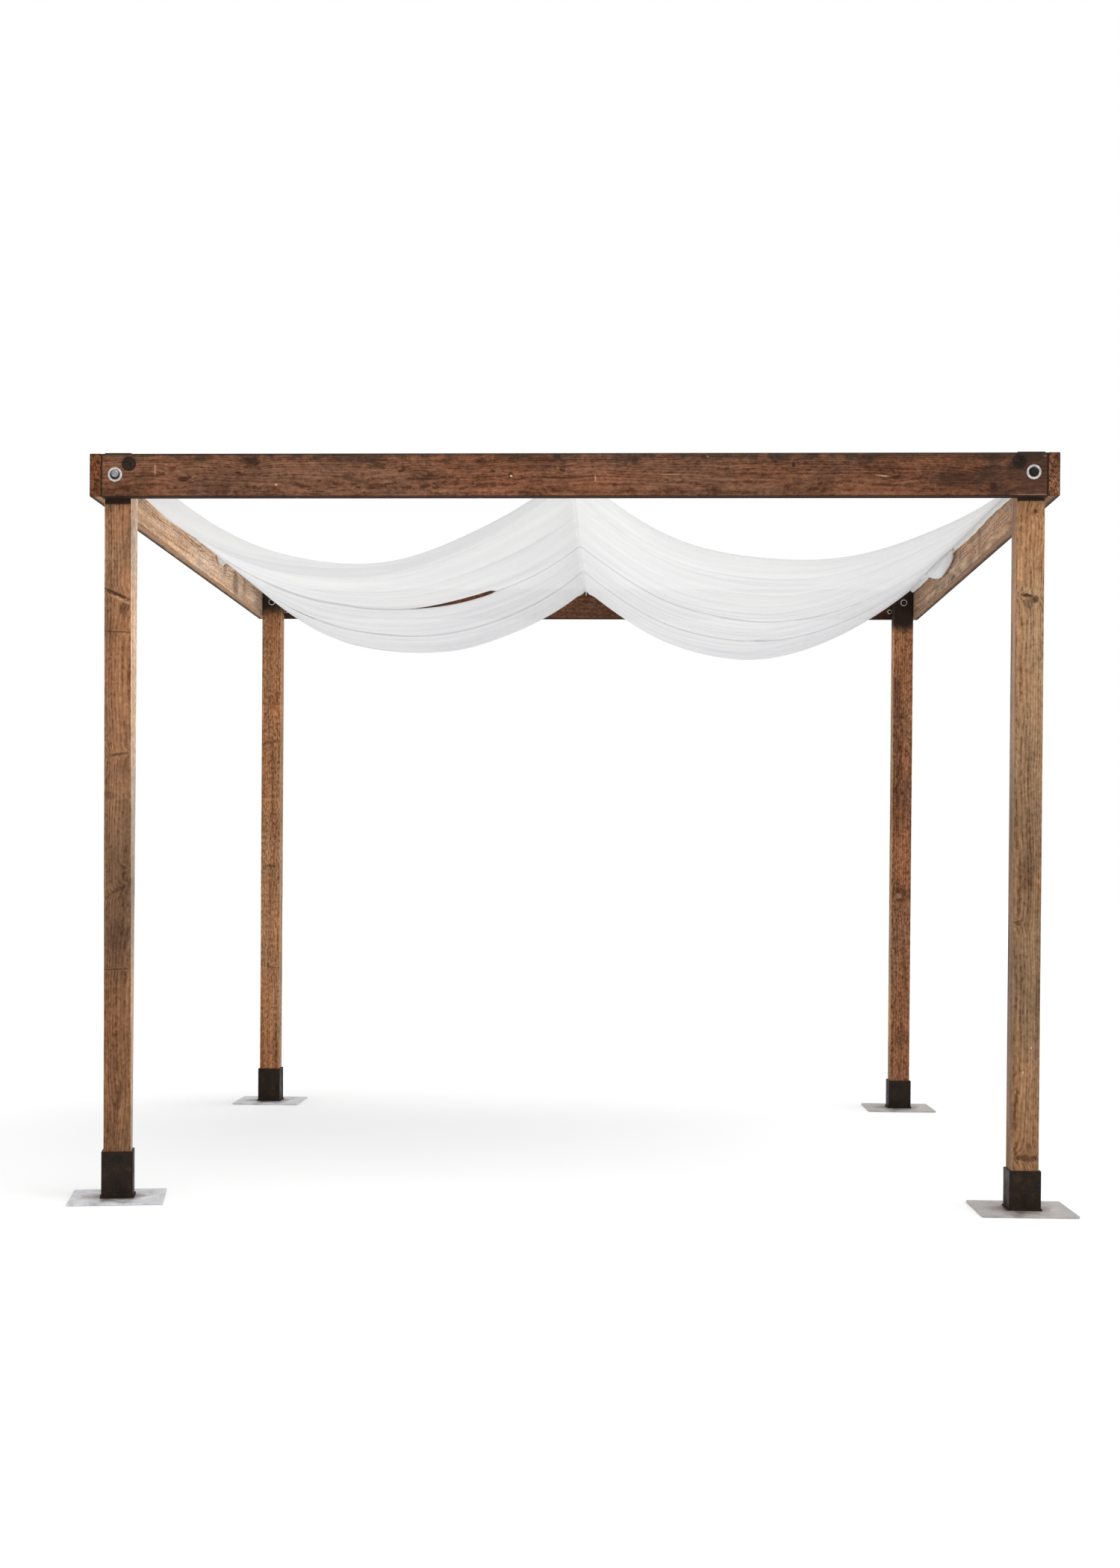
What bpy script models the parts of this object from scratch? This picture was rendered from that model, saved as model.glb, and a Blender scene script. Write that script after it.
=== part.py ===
"""Open wedding canopy: four square timber posts in welded steel shoes, four planks bolted round their tops, and
sheer cloth hung in two swags between the side planks and a wire that runs along the middle.

Metres, +Z up, the front faces -Y. Everything is placed about the middle of the four posts, and the last step
slides it so that the origin is under the middle of the whole. Faces that touch on the real thing are GAP apart."""

import math

import bpy
import numpy as np

GAP = 0.0003

# A 4x4 post and a 2x6 plank, at their planed sizes.
POST = 0.0889
POST_LENGTH = 2.4384
PLANK_THICK = 0.0381
PLANK_DEEP = 0.1397
PLANK_LONG = 3.048
PLANK_BELOW_POST_TOP = 0.010
EASED_EDGE = 0.003

# The steel foot: a square tube welded to a plate.
PLATE = 0.3048
PLATE_THICK = 0.00635
SHOE = 0.1016
SHOE_TALL_LEFT = 0.1524
SHOE_TALL_RIGHT = 0.127
# The front left foot is turned, and its post untwists between the shoe and the planks.
TURNED_FOOT = math.radians(10.5)

# The middle wire, held at each end by an eye in a plank.
WIRE_RADIUS = 0.002
WIRE_BELOW_PLANK_TOP = 0.012
WIRE_DIP = 0.012
EYE_RADIUS = 0.011
EYE_BAR = 0.0025

# The cloth: how far each swag hangs below the line between its edges, at the front and at the back.
CLOTH_THICK = 0.003
SAG_LEFT = (0.3115, 0.2905)
SAG_RIGHT = (0.2995, 0.322)
SAG_POWER = 2.3
SIDE_EDGE_BELOW_TOP = {"left": 0.033, "right": 0.027}
SIDE_EDGE_INSET = {"left": 0.005, "right": 0.024}
RIDGE_BELOW_TOP = 0.0185
RIDGE_EDGE = 0.003
CLOTH_REACH = 1.385
SEAMS_LEFT = (0.09, 0.79)
SEAMS_RIGHT = (0.19, 0.73)

HALF = PLANK_LONG / 2
POST_TOP = PLATE_THICK + GAP + POST_LENGTH
PLANK_TOP = POST_TOP - PLANK_BELOW_POST_TOP
POST_X = HALF - GAP - POST / 2
POST_Y = HALF - PLANK_THICK - GAP - POST / 2


def material(name, colour, roughness, metallic=0.0):
    made = bpy.data.materials.new(name)
    made.use_nodes = True
    shader = made.node_tree.nodes["Principled BSDF"]
    shader.inputs["Base Color"].default_value = (*colour, 1.0)
    shader.inputs["Roughness"].default_value = roughness
    shader.inputs["Metallic"].default_value = metallic
    return made


def add(name, points, faces, look):
    """One object from an array of points and a list of faces."""
    mesh = bpy.data.meshes.new(name)
    mesh.from_pydata([tuple(map(float, point)) for point in points], [], faces)
    mesh.materials.append(look)
    made = bpy.data.objects.new(name, mesh)
    bpy.context.scene.collection.objects.link(made)
    return made


def loft(name, rings, look):
    """A solid through rings of points, all the same length, capped at both ends."""
    rings = np.asarray(rings)
    count, size = rings.shape[:2]
    faces = [list(range(size))[::-1], [(count - 1) * size + i for i in range(size)]]
    for ring in range(count - 1):
        a = ring * size
        faces += [[a + i, a + (i + 1) % size, a + size + (i + 1) % size, a + size + i] for i in range(size)]
    return add(name, rings.reshape(-1, 3), faces, look)


def eased_rectangle(wide, deep):
    """The corners of a rectangle about the origin, anticlockwise, each rounded by three short sides."""
    corners = []
    for start, (sx, sy) in zip((0, 90, 180, 270), ((1, 1), (-1, 1), (-1, -1), (1, -1))):
        for step in range(4):
            angle = math.radians(start + 30 * step)
            corners.append((sx * (wide / 2 - EASED_EDGE) + EASED_EDGE * math.cos(angle),
                            sy * (deep / 2 - EASED_EDGE) + EASED_EDGE * math.sin(angle)))
    return np.array(corners)


def post(name, x, y, turn, look):
    """A square post. It is turned by this angle inside its shoe, and is square to the planks at the top."""
    section = eased_rectangle(POST, POST)
    foot, top = PLATE_THICK + GAP, POST_TOP
    levels = [foot] + list(np.linspace(0.17, PLANK_TOP - PLANK_DEEP - 0.06, 13)) + [top]
    rings = []
    for level in levels:
        left = min(max((levels[-2] - level) / (levels[-2] - levels[1]), 0.0), 1.0)
        c, s = math.cos(turn * left), math.sin(turn * left)
        ring = section @ np.array([[c, s], [-s, c]]) + (x, y)
        rings.append(np.column_stack([ring, np.full(len(ring), level)]))
    return loft(name, rings, look)


def plank(name, centre, along_x, look):
    """A plank on edge, with its length along X or along Y."""
    section = eased_rectangle(PLANK_THICK, PLANK_DEEP)
    rings = []
    for end in (-HALF, HALF):
        along = np.full(len(section), end)
        if along_x:
            ring = np.column_stack([along, section[:, 0], section[:, 1]])
        else:
            ring = np.column_stack([-section[:, 0], along, section[:, 1]])
        rings.append(ring + centre)
    return loft(name, rings, look)


def turned_box(name, centre, size, turn, look, hollow=0.0):
    """An upright square block turned about Z, as a tube open at both ends when hollow gives its bore."""
    (x, y, low), (wide, tall) = centre, size
    c, s = math.cos(turn), math.sin(turn)
    square = np.array([(-1, -1), (1, -1), (1, 1), (-1, 1)]) / 2 @ np.array([[c, s], [-s, c]])
    outer = square * wide + (x, y)
    if not hollow:
        return loft(name, [np.column_stack([outer, np.full(4, z)]) for z in (low, low + tall)], look)
    inner = square * hollow + (x, y)
    rings = [np.column_stack([ring, np.full(4, z)]) for ring, z in
             ((outer, low), (outer, low + tall), (inner, low + tall), (inner, low))]
    faces = []
    for ring in range(4):
        a, b = 4 * ring, 4 * ((ring + 1) % 4)
        faces += [[a + i, a + (i + 1) % 4, b + (i + 1) % 4, b + i] for i in range(4)]
    return add(name, np.concatenate(rings), faces, look)


def wire(name, points, radius, look, closed=False, sides=8):
    """A round bar along a line of points."""
    points = np.asarray(points, float)
    if closed:
        tangents = np.roll(points, -1, 0) - np.roll(points, 1, 0)
    else:
        tangents = np.gradient(points, axis=0)
    tangents /= np.linalg.norm(tangents, axis=1)[:, None]
    side = np.cross(tangents, (1.0, 0.0, 0.0))
    side /= np.linalg.norm(side, axis=1)[:, None]
    other = np.cross(tangents, side)
    angles = np.arange(sides) * 2 * math.pi / sides
    rings = (points[:, None] + radius * (np.cos(angles)[None, :, None] * side[:, None]
                                         + np.sin(angles)[None, :, None] * other[:, None]))
    if not closed:
        return loft(name, rings, look)
    count = len(rings)
    faces = []
    for ring in range(count):
        a, b = ring * sides, (ring + 1) % count * sides
        faces += [[a + i, a + (i + 1) % sides, b + (i + 1) % sides, b + i] for i in range(sides)]
    return add(name, rings.reshape(-1, 3), faces, look)


def cloth(name, side, front, back, look):
    """One width of a swag, from the side plank to the middle wire, as a thin closed sheet.

    Across the swag, t runs from 0 at the plank to 1 at the wire, and the cloth is
    sag * (1 - |2t - 1| ** SAG_POWER) below the straight line between them."""
    across, along = 33, 9
    sign = -1.0 if side == "left" else 1.0
    sags = SAG_LEFT if side == "left" else SAG_RIGHT
    t, y = np.meshgrid(np.linspace(0, 1, across), np.linspace(front, back, along))
    x = sign * ((1 - t) * (HALF - SIDE_EDGE_INSET[side]) + t * RIDGE_EDGE)
    sag = np.interp(y, (-CLOTH_REACH, CLOTH_REACH), sags)
    level = PLANK_TOP - (1 - t) * SIDE_EDGE_BELOW_TOP[side] - t * RIDGE_BELOW_TOP
    z = level - sag * (1 - np.abs(2 * t - 1) ** SAG_POWER)
    lower = np.stack([x, y, z - CLOTH_THICK / 2], -1).reshape(-1, 3)
    upper = np.stack([x, y, z + CLOTH_THICK / 2], -1).reshape(-1, 3)
    n = across * along
    quads = [[r * across + c, r * across + c + 1, (r + 1) * across + c + 1, (r + 1) * across + c]
             for r in range(along - 1) for c in range(across - 1)]
    rim = [r * across for r in range(along)] + [(along - 1) * across + c for c in range(1, across)]
    rim += [r * across + across - 1 for r in range(along - 2, -1, -1)] + list(range(across - 2, 0, -1))
    faces = [[q + n for q in quad] for quad in quads] + [quad[::-1] for quad in quads]
    faces += [[a, a + n, b + n, b] for a, b in zip(rim, rim[1:] + rim[:1])]
    if sign > 0:
        faces = [face[::-1] for face in faces]
    return add(name, np.concatenate([lower, upper]), faces, look)


def knot(name, centre, size, look):
    """A bunched tie: a rounded lump, pinched where the cloth crosses over itself."""
    u, v = np.meshgrid(np.arange(20) * 2 * math.pi / 20, np.linspace(0, math.pi, 13)[1:-1])
    pinch = 1 - 0.22 * np.cos(2 * u) * np.sin(v)
    ball = np.stack([np.sin(v) * np.cos(u) * pinch, np.sin(v) * np.sin(u) * pinch, np.cos(v)], -1)
    rings = ball[::-1] * (np.array(size) / 2) + centre
    return loft(name, rings, look)


for startup in list(bpy.data.objects):
    bpy.data.objects.remove(startup)

post_wood = material("post_wood", (0.32, 0.19, 0.11), 0.75)
plank_wood = material("plank_wood", (0.14, 0.065, 0.04), 0.7)
dark_steel = material("dark_steel", (0.02, 0.015, 0.012), 0.6, 0.6)
plate_steel = material("plate_steel", (0.42, 0.40, 0.38), 0.5, 0.8)
bright_steel = material("bright_steel", (0.55, 0.55, 0.55), 0.4, 1.0)
voile = material("voile", (0.85, 0.85, 0.86), 0.9)

for end, sy in (("front", -1), ("rear", 1)):
    for side, sx in (("left", -1), ("right", 1)):
        x, y = sx * POST_X, sy * POST_Y
        turn = TURNED_FOOT if (end, side) == ("front", "left") else 0.0
        tall = SHOE_TALL_LEFT if side == "left" else SHOE_TALL_RIGHT
        post(f"post_{end}_{side}", x, y, turn, post_wood)
        turned_box(f"plate_{end}_{side}", (x, y, 0.0), (PLATE, PLATE_THICK), turn, plate_steel)
        turned_box(f"shoe_{end}_{side}", (x, y, PLATE_THICK + GAP), (SHOE, tall), turn, dark_steel,
                   hollow=POST + 2 * GAP)

middle = PLANK_TOP - PLANK_DEEP / 2
offset = HALF - PLANK_THICK / 2
plank("plank_front", (0.0, -offset, middle), True, plank_wood)
plank("plank_rear", (0.0, offset, middle), True, plank_wood)
plank("plank_left", (-HALF - GAP - PLANK_THICK / 2, 0.0, middle), False, plank_wood)
plank("plank_right", (HALF + GAP + PLANK_THICK / 2, 0.0, middle), False, plank_wood)

# The eyes hang from the planks' inner faces, and the wire ends inside them.
wire_z = PLANK_TOP - WIRE_BELOW_PLANK_TOP - EYE_RADIUS
eye_y = HALF - PLANK_THICK - GAP - EYE_RADIUS - EYE_BAR
for end, sy in (("front", -1), ("rear", 1)):
    angle = np.arange(24) * 2 * math.pi / 24
    loop = np.column_stack([np.zeros(24), sy * eye_y + EYE_RADIUS * np.cos(angle),
                            wire_z + EYE_RADIUS * np.sin(angle)])
    wire(f"eye_{end}", loop, EYE_BAR, bright_steel, closed=True)
reach = eye_y - EYE_RADIUS - EYE_BAR - GAP - WIRE_RADIUS
run = np.linspace(-reach, reach, 17)
wire("middle_wire", np.column_stack([np.zeros(17), run, wire_z - WIRE_DIP * (1 - (run / reach) ** 2)]),
     WIRE_RADIUS, bright_steel)

for side, seams in (("left", SEAMS_LEFT), ("right", SEAMS_RIGHT)):
    edges = (-CLOTH_REACH, *seams, CLOTH_REACH)
    for width, front, back in zip(("front", "middle", "rear"), edges, edges[1:]):
        cloth(f"cloth_{side}_{width}", side, front + 0.001, back - 0.001, voile)

knot("tie_right", (HALF - 0.0165, 0.44, PLANK_TOP - 0.070), (0.030, 0.54, 0.060), voile)
knot("tie_left", (-HALF + 0.012, 0.36, PLANK_TOP - 0.062), (0.018, 0.060, 0.030), voile)

corners = np.array([o.matrix_world @ v.co for o in bpy.data.objects for v in o.data.vertices])
slide = -(corners.min(0) + corners.max(0)) / 2
for made in bpy.data.objects:
    points = np.empty(len(made.data.vertices) * 3)
    made.data.vertices.foreach_get("co", points)
    points = points.reshape(-1, 3) + (slide[0], slide[1], 0.0)
    made.data.vertices.foreach_set("co", points.ravel())
    made.data.update()
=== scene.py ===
# %% [markdown]
# # A wedding canopy of four posts, four planks and two swags of voile
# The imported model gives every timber, shoe and plate at its real size. This lesson keeps those parts
# where they are, gives each one its finish, and replaces the plain cloth with draped sheets.
# Everything new is a numpy surface: a function of two parameters on a grid, or a profile carried along
# a path.

import math

import bpy
import numpy as np
from mathutils import Matrix, Vector


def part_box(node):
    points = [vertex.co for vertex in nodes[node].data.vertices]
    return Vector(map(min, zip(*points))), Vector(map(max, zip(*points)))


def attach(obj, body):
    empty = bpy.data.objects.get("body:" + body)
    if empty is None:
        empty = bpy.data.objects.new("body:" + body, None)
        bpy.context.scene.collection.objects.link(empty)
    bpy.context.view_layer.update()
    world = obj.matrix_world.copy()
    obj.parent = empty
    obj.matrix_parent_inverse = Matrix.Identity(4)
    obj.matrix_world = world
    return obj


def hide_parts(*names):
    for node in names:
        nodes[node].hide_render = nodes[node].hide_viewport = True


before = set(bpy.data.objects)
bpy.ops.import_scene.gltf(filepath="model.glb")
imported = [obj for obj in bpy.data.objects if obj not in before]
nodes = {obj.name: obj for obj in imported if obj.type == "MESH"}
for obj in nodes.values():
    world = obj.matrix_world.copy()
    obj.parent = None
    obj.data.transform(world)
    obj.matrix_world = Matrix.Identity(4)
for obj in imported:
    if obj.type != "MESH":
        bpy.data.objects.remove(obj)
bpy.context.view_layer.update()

# %% [markdown]
# ## Where things are
# Places are read from the parts themselves, so that a change to the model carries through.
# The planks give the height of the top, and the middle of the four posts is the middle of the work.

# %% Measures taken from the parts
def middle(name):
    """The centre of a part's box."""
    low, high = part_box(name)
    return (np.array(low) + np.array(high)) / 2


posts = {name: middle(name) for name in nodes if name.startswith("post_")}
centre = sum(posts.values()) / len(posts)
plank_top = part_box("plank_front")[1].z
plank_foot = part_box("plank_front")[0].z
inner_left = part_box("plank_left")[1].x
inner_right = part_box("plank_right")[0].x
inner_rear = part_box("plank_rear")[0].y
inner_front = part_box("plank_front")[1].y
print("plank tops at", round(plank_top, 4), "and the posts' middle at", np.round(centre, 4))

# %% [markdown]
# ## Camera
# The canopy is seen from about eight metres away at chest height, with the lens raised a little,
# which is what keeps the posts upright while the swags are seen from below.
# The direction is a turn about Z, then a tilt, then a slight roll.

# %% Camera
YAW, PITCH, ROLL = math.radians(2.307), math.radians(-0.557), math.radians(-0.402)
STAND = Vector((0.1703, -7.9605, 1.0625))


def turn_matrix(yaw, pitch, roll):
    """Rz(yaw) @ Rx(pitch) @ Ry(roll): the columns are right, forward and up."""
    return Matrix.Rotation(yaw, 3, "Z") @ Matrix.Rotation(pitch, 3, "X") @ Matrix.Rotation(roll, 3, "Y")


right, forward, up = turn_matrix(YAW, PITCH, ROLL).col
camera_data = bpy.data.cameras.new("camera")
camera_data.lens = 45.82
camera_data.sensor_width = 36.0
camera_data.shift_x = 0.013
camera_data.shift_y = 0.073
camera = bpy.data.objects.new("camera", camera_data)
facing = Matrix((right, up, -forward)).transposed()
below_centre = Vector(centre * (1, 1, 0))
camera.matrix_world = Matrix.Translation(below_centre + STAND) @ facing.to_4x4()
bpy.context.scene.collection.objects.link(camera)
bpy.context.scene.camera = camera
bpy.context.scene.view_settings.view_transform = "Standard"
print("camera at", [round(v, 3) for v in camera.matrix_world.translation])

# %% [markdown]
# ## Light and floor
# An overcast day is one large soft source overhead, a little stronger from one side. A plain sky with a
# very wide sun gives that: shadows stay soft, and the faces towards +X are the bright ones. The sky is a
# little brighter behind the canopy than it is as a light. The floor is plain and pale, and lies just
# below the feet.

# %% Light and floor
SKY_AS_LIGHT, SKY_AS_SEEN = 0.86, 1.0
FLOOR_REACH, FLOOR_BELOW = 90, 0.001

sky = bpy.data.worlds.new("overcast")
sky.use_nodes = True
sky_tree = sky.node_tree
background = sky_tree.nodes["Background"]
background.inputs["Color"].default_value = (1.0, 1.0, 1.0, 1.0)
light_path = sky_tree.nodes.new("ShaderNodeLightPath")
brightness = sky_tree.nodes.new("ShaderNodeMapRange")
brightness.inputs["To Min"].default_value = SKY_AS_LIGHT
brightness.inputs["To Max"].default_value = SKY_AS_SEEN
sky_tree.links.new(light_path.outputs["Is Camera Ray"], brightness.inputs["Value"])
sky_tree.links.new(brightness.outputs["Result"], background.inputs["Strength"])
bpy.context.scene.world = sky

sun_data = bpy.data.lights.new("soft_sun", "SUN")
sun_data.energy = 1.6
sun_data.angle = math.radians(75)
sun = bpy.data.objects.new("soft_sun", sun_data)
sun.rotation_euler = Vector((0.52, -0.24, 0.82)).to_track_quat("Z", "Y").to_euler()
bpy.context.scene.collection.objects.link(sun)


def plain(name, colour, roughness, metallic=0.0):
    """A material with one Principled shader, and its tree and shader."""
    look = bpy.data.materials.new(name)
    look.use_nodes = True
    shader = look.node_tree.nodes["Principled BSDF"]
    shader.inputs["Base Color"].default_value = (*colour, 1.0)
    shader.inputs["Roughness"].default_value = roughness
    shader.inputs["Metallic"].default_value = metallic
    return look, look.node_tree, shader


floor_mesh = bpy.data.meshes.new("floor")
floor_corners = [(x * FLOOR_REACH, y * FLOOR_REACH, -FLOOR_BELOW)
                 for x, y in ((-1, -1), (1, -1), (1, 1), (-1, 1))]
floor_mesh.from_pydata(floor_corners, [], [(0, 1, 2, 3)])
floor = bpy.data.objects.new("floor", floor_mesh)
floor_mesh.materials.append(plain("pale_floor", (0.93, 0.93, 0.93), 0.9)[0])
bpy.context.scene.collection.objects.link(floor)
print("light: overcast sky with a soft sun from +X")

# %% [markdown]
# ## Small tools for node trees
# A finish is a tree of shader nodes. These helpers add one node each and return its output, so a finish
# reads as a few lines of arithmetic. A number goes on the node's socket, and an output is linked to it.

# %% Helpers for node trees
def put(tree, kind, output=0, settings=(), **sockets):
    """One node of this kind. Settings are its own properties, and sockets are its inputs."""
    made = tree.nodes.new("ShaderNode" + kind)
    for name, value in dict(settings).items():
        setattr(made, name, value)
    for name, value in sockets.items():
        join(tree, value, made.inputs[name.replace("_", " ")])
    return made.outputs[output]


def join(tree, value, socket):
    """Links an output to a socket, or sets the socket to a plain value."""
    if isinstance(value, bpy.types.NodeSocket):
        tree.links.new(value, socket)
    else:
        socket.default_value = value


def calc(tree, operation, *values):
    """One Math node."""
    made = tree.nodes.new("ShaderNodeMath")
    made.operation = operation
    for value, socket in zip(values, made.inputs):
        join(tree, value, socket)
    return made.outputs[0]


def plus(tree, first, second):
    return calc(tree, "ADD", first, second)


def times(tree, first, second):
    return calc(tree, "MULTIPLY", first, second)


def swing(tree, value, amount):
    """A noise of 0 to 1 as a push either way: (value - 0.5) * amount."""
    return times(tree, calc(tree, "SUBTRACT", value, 0.5), amount)


def vector(tree, operation, *values, output=0):
    """One Vector Math node. Output 0 is a vector, and output 1 is a single number such as a length."""
    made = tree.nodes.new("ShaderNodeVectorMath")
    made.operation = operation
    for value, socket in zip(values, made.inputs):
        join(tree, value, socket)
    return made.outputs[output]


def ramp(tree, factor, *stops, ease="EASE"):
    """A Color Ramp with stops of (position, grey level) or (position, colour)."""
    made = tree.nodes.new("ShaderNodeValToRGB")
    made.color_ramp.interpolation = ease
    elements = made.color_ramp.elements
    while len(elements) < len(stops):
        elements.new(0.5)
    for element, (position, level) in zip(elements, stops):
        element.position = position
        element.color = (*level, 1.0) if hasattr(level, "__len__") else (level, level, level, 1.0)
    tree.links.new(factor, made.inputs[0])
    return made.outputs[0]


def layer(tree, factor, below, above, mode="MIX"):
    """One colour laid over another by a factor. A Mix node has its two colours on inputs 6 and 7, and gives
    the mixed colour on output 2."""
    made = tree.nodes.new("ShaderNodeMix")
    made.data_type, made.blend_type = "RGBA", mode
    for value, number in ((factor, 0), (below, 6), (above, 7)):
        is_colour = isinstance(value, tuple) and len(value) == 3
        join(tree, (*value, 1.0) if is_colour else value, made.inputs[number])
    return made.outputs[2]


def noise(tree, place, scale, detail=3.0, roughness=0.55, output=0):
    """Noise on coordinates that are first stretched by a scale along each axis, in cycles a metre."""
    stretched = vector(tree, "MULTIPLY", place, tuple(scale))
    return put(tree, "TexNoise", output, Vector=stretched, Scale=1.0, Detail=detail, Roughness=roughness)


def paint(red, green, blue):
    """A colour from its screen values of 0 to 255, as the linear light that a shader takes."""
    levels = np.array([red, green, blue]) / 255
    linear = np.where(levels > 0.04045, ((levels + 0.055) / 1.055) ** 2.4, levels / 12.92)
    return tuple(float(level) for level in linear)


print("node helpers ready")

# %% [markdown]
# ## Timber
# The real timber is softwood under a worn brown stain: growth rings that bend round knots, fine fibres,
# long streaks, weather blotches, and a darker end grain. Rings are circles about the pith of the tree, so
# the finish measures the distance from a line beside the timber, after low noise has bent it. That gives
# the arches of a sawn face and the arcs of an end from the same sum. Coordinates are turned so that the
# third is always along the grain.

# %% Timber finish
TURNS = {
    "Z": Matrix(((1, 0, 0), (0, 1, 0), (0, 0, 1))),
    "X": Matrix(((0, 1, 0), (0, 0, 1), (1, 0, 0))),
    "Y": Matrix(((-1, 0, 0), (0, 0, 1), (0, 1, 0))),
}
RING_SPACING = 0.0047
POST_FACE, POST_MARK_DEPTH = 0.0445, 0.03
PLANK_FACE, PLANK_MARK_DEPTH = 0.019, 0.012
FACES_ALONG = 0.6


def patch(tree, place, wobble, spot, radii, tilt):
    """The distance from the middle of an ellipsoid, counted in its radii and roughened by noise."""
    turned_place = put(tree, "Mapping", settings={"vector_type": "TEXTURE"}, Vector=place, Location=spot,
                       Rotation=tilt, Scale=radii)
    return vector(tree, "LENGTH", vector(tree, "ADD", turned_place, wobble), output=1)


def on_post(across, height, wide, tall, tilt, dark):
    """A mark on the front of a post: its place, radii, lean in degrees and strength. Below 0 it is pale."""
    spot = (across, -POST_FACE, height - post_middle)
    return spot, (wide, POST_MARK_DEPTH, tall), (0.0, math.radians(tilt), 0.0), dark


def on_plank(along, height, long, tall, tilt, dark, face=-PLANK_FACE):
    """A mark on one face of a plank, counted along it from its middle and up from its middle."""
    spot = (face, height, along)
    return spot, (PLANK_MARK_DEPTH, tall, long), (math.radians(tilt), 0.0, 0.0), dark


def smooth_step(tree, value, low, high, at_low, at_high):
    """A value that eases from at_low to at_high while the given one goes from low to high."""
    return put(tree, "MapRange", settings={"interpolation_type": "SMOOTHSTEP"}, Value=value, From_Min=low,
               From_Max=high, To_Min=at_low, To_Max=at_high)


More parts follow.
